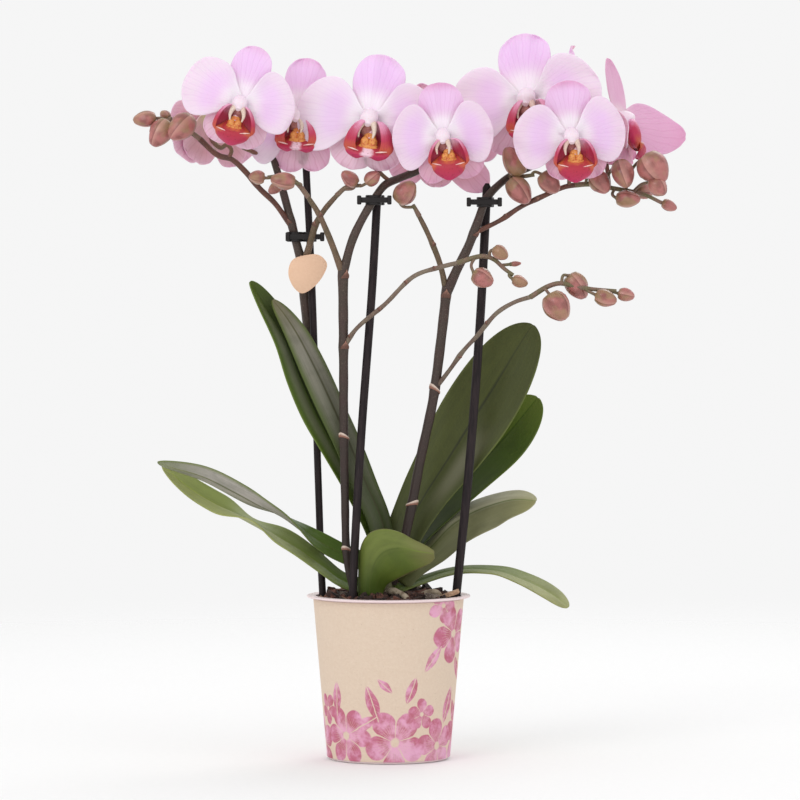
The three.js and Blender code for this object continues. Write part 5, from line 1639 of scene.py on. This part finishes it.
def buildTag():
    x, y, z = tagShape["centre"]
    width, height, thickness, corners = (tagShape[key] for key in ("width", "height", "thickness", "outline"))
    loop = Route([(*corner, 0) for corner in corners[-1:] + corners + corners[:2]])
    outline = [loop.between((1 + step / 6) / (len(corners) + 2)) for step in range(6 * len(corners))]
    points = [(point.x * width * mm, 0, point.y * height * mm) for point in outline]
    plate = edited(
        fromPoints(points, [], [list(range(len(points)))]),
        (bpy.ops.mesh.inset, {"thickness": 0.8 * mm, "depth": 0}),
        (bpy.ops.mesh.extrude_region_move, {"TRANSFORM_OT_translate": {"value": (0, -0.12 * mm, 0)}}),
    )
    withModifiers(plate, ("SOLIDIFY", {"thickness": (thickness - 0.2) * mm, "offset": 0}),
                  ("BEVEL", {"width": 0.12 * mm, "segments": 2}))
    plate.data.transform(Matrix.Translation(Vector((x, y - 0.35, z)) * mm))
    stakeRadius, stakePoints = stakes["stake_left"]
    point = Route(stakePoints).atHeight(z)
    ring = makeRing(point, stakeRadius + 0.2, stakeRadius + 1.45, tagShape["loop"])
    neckDepth = point.y - stakeRadius - y
    neck = makeBlock((point.x, y + neckDepth / 2, z), (2.4, neckDepth + 0.8, tagShape["loop"]), 0.4)
    finish = tagFinish()
    deliver([wear(smoothShade(part, 35), finish) for part in (plate, ring, neck)], "plant_tag", "tag", "tag")
    print("tag made")


# The studio ------

# Each light: its place, size and power. The eye and what it aims at are in millimetres.
studio = {
    "lights": {
        "keyLight": ((-1.1, -1.7, 1.5), 1.1, 11),
        "fillLight": ((1.5, -1.3, 0.9), 1.2, 2),
        "backLight": ((0.7, 1.4, 1.5), 1.0, 7),
    },
    "world": 0.92, "eye": (6.3, -2500, 275), "aim": (6.3, 0, 197), "lens": 205,
}


def lookAt(item, place, aim):
    item.rotation_euler = (Vector(aim) - Vector(place)).to_track_quat("-Z", "Y").to_euler()


def buildStudio():
    bpy.ops.mesh.primitive_circle_add(vertices=128, radius=1.6, fill_type="NGON", location=(0, 0, -0.0002))
    floor = active()
    floor.name = "studio_floor"
    finish = Finish("paleFloor")
    x, y = finish.split(finish.place())[:2]
    fine = finish.noise(0.004, detail=2)
    tone = finish.mix(fine, (240, 240, 240), (244, 244, 244))
    wear(floor, finish.dress(tone, 0.85 + 0.05 * fine, more={"Alpha": finish.length(x, y).ease(1.3, 0.3)}))

    world = bpy.data.worlds.new("studio")
    world.use_nodes = True
    world.node_tree.nodes["Background"].inputs["Color"].default_value = (1, 1, 1, 1)
    world.node_tree.nodes["Background"].inputs["Strength"].default_value = studio["world"]
    bpy.context.scene.world = world
    for name, (place, size, power) in studio["lights"].items():
        bpy.ops.object.light_add(type="AREA", location=place)
        light = active()
        light.name = name
        light.data.size = size
        light.data.energy = power
        lookAt(light, place, (0, 0, 0.22))

    eye, aim = (Vector(studio[key]) * mm for key in ("eye", "aim"))
    bpy.ops.object.camera_add(location=eye)
    camera = active()
    lookAt(camera, eye, aim)
    camera.data.lens = studio["lens"]
    camera.data.sensor_width = 36
    camera.data.clip_end = 50
    bpy.context.scene.camera = camera
    bpy.context.scene.view_settings.view_transform = "Standard"
    print("studio set")


buildPot()
buildBark()
buildCrown()
buildStakes()
buildSpikes()
buildLeaves()
buildBlooms()
buildLips()
buildBuds()
buildClips()
buildTag()
buildStudio()
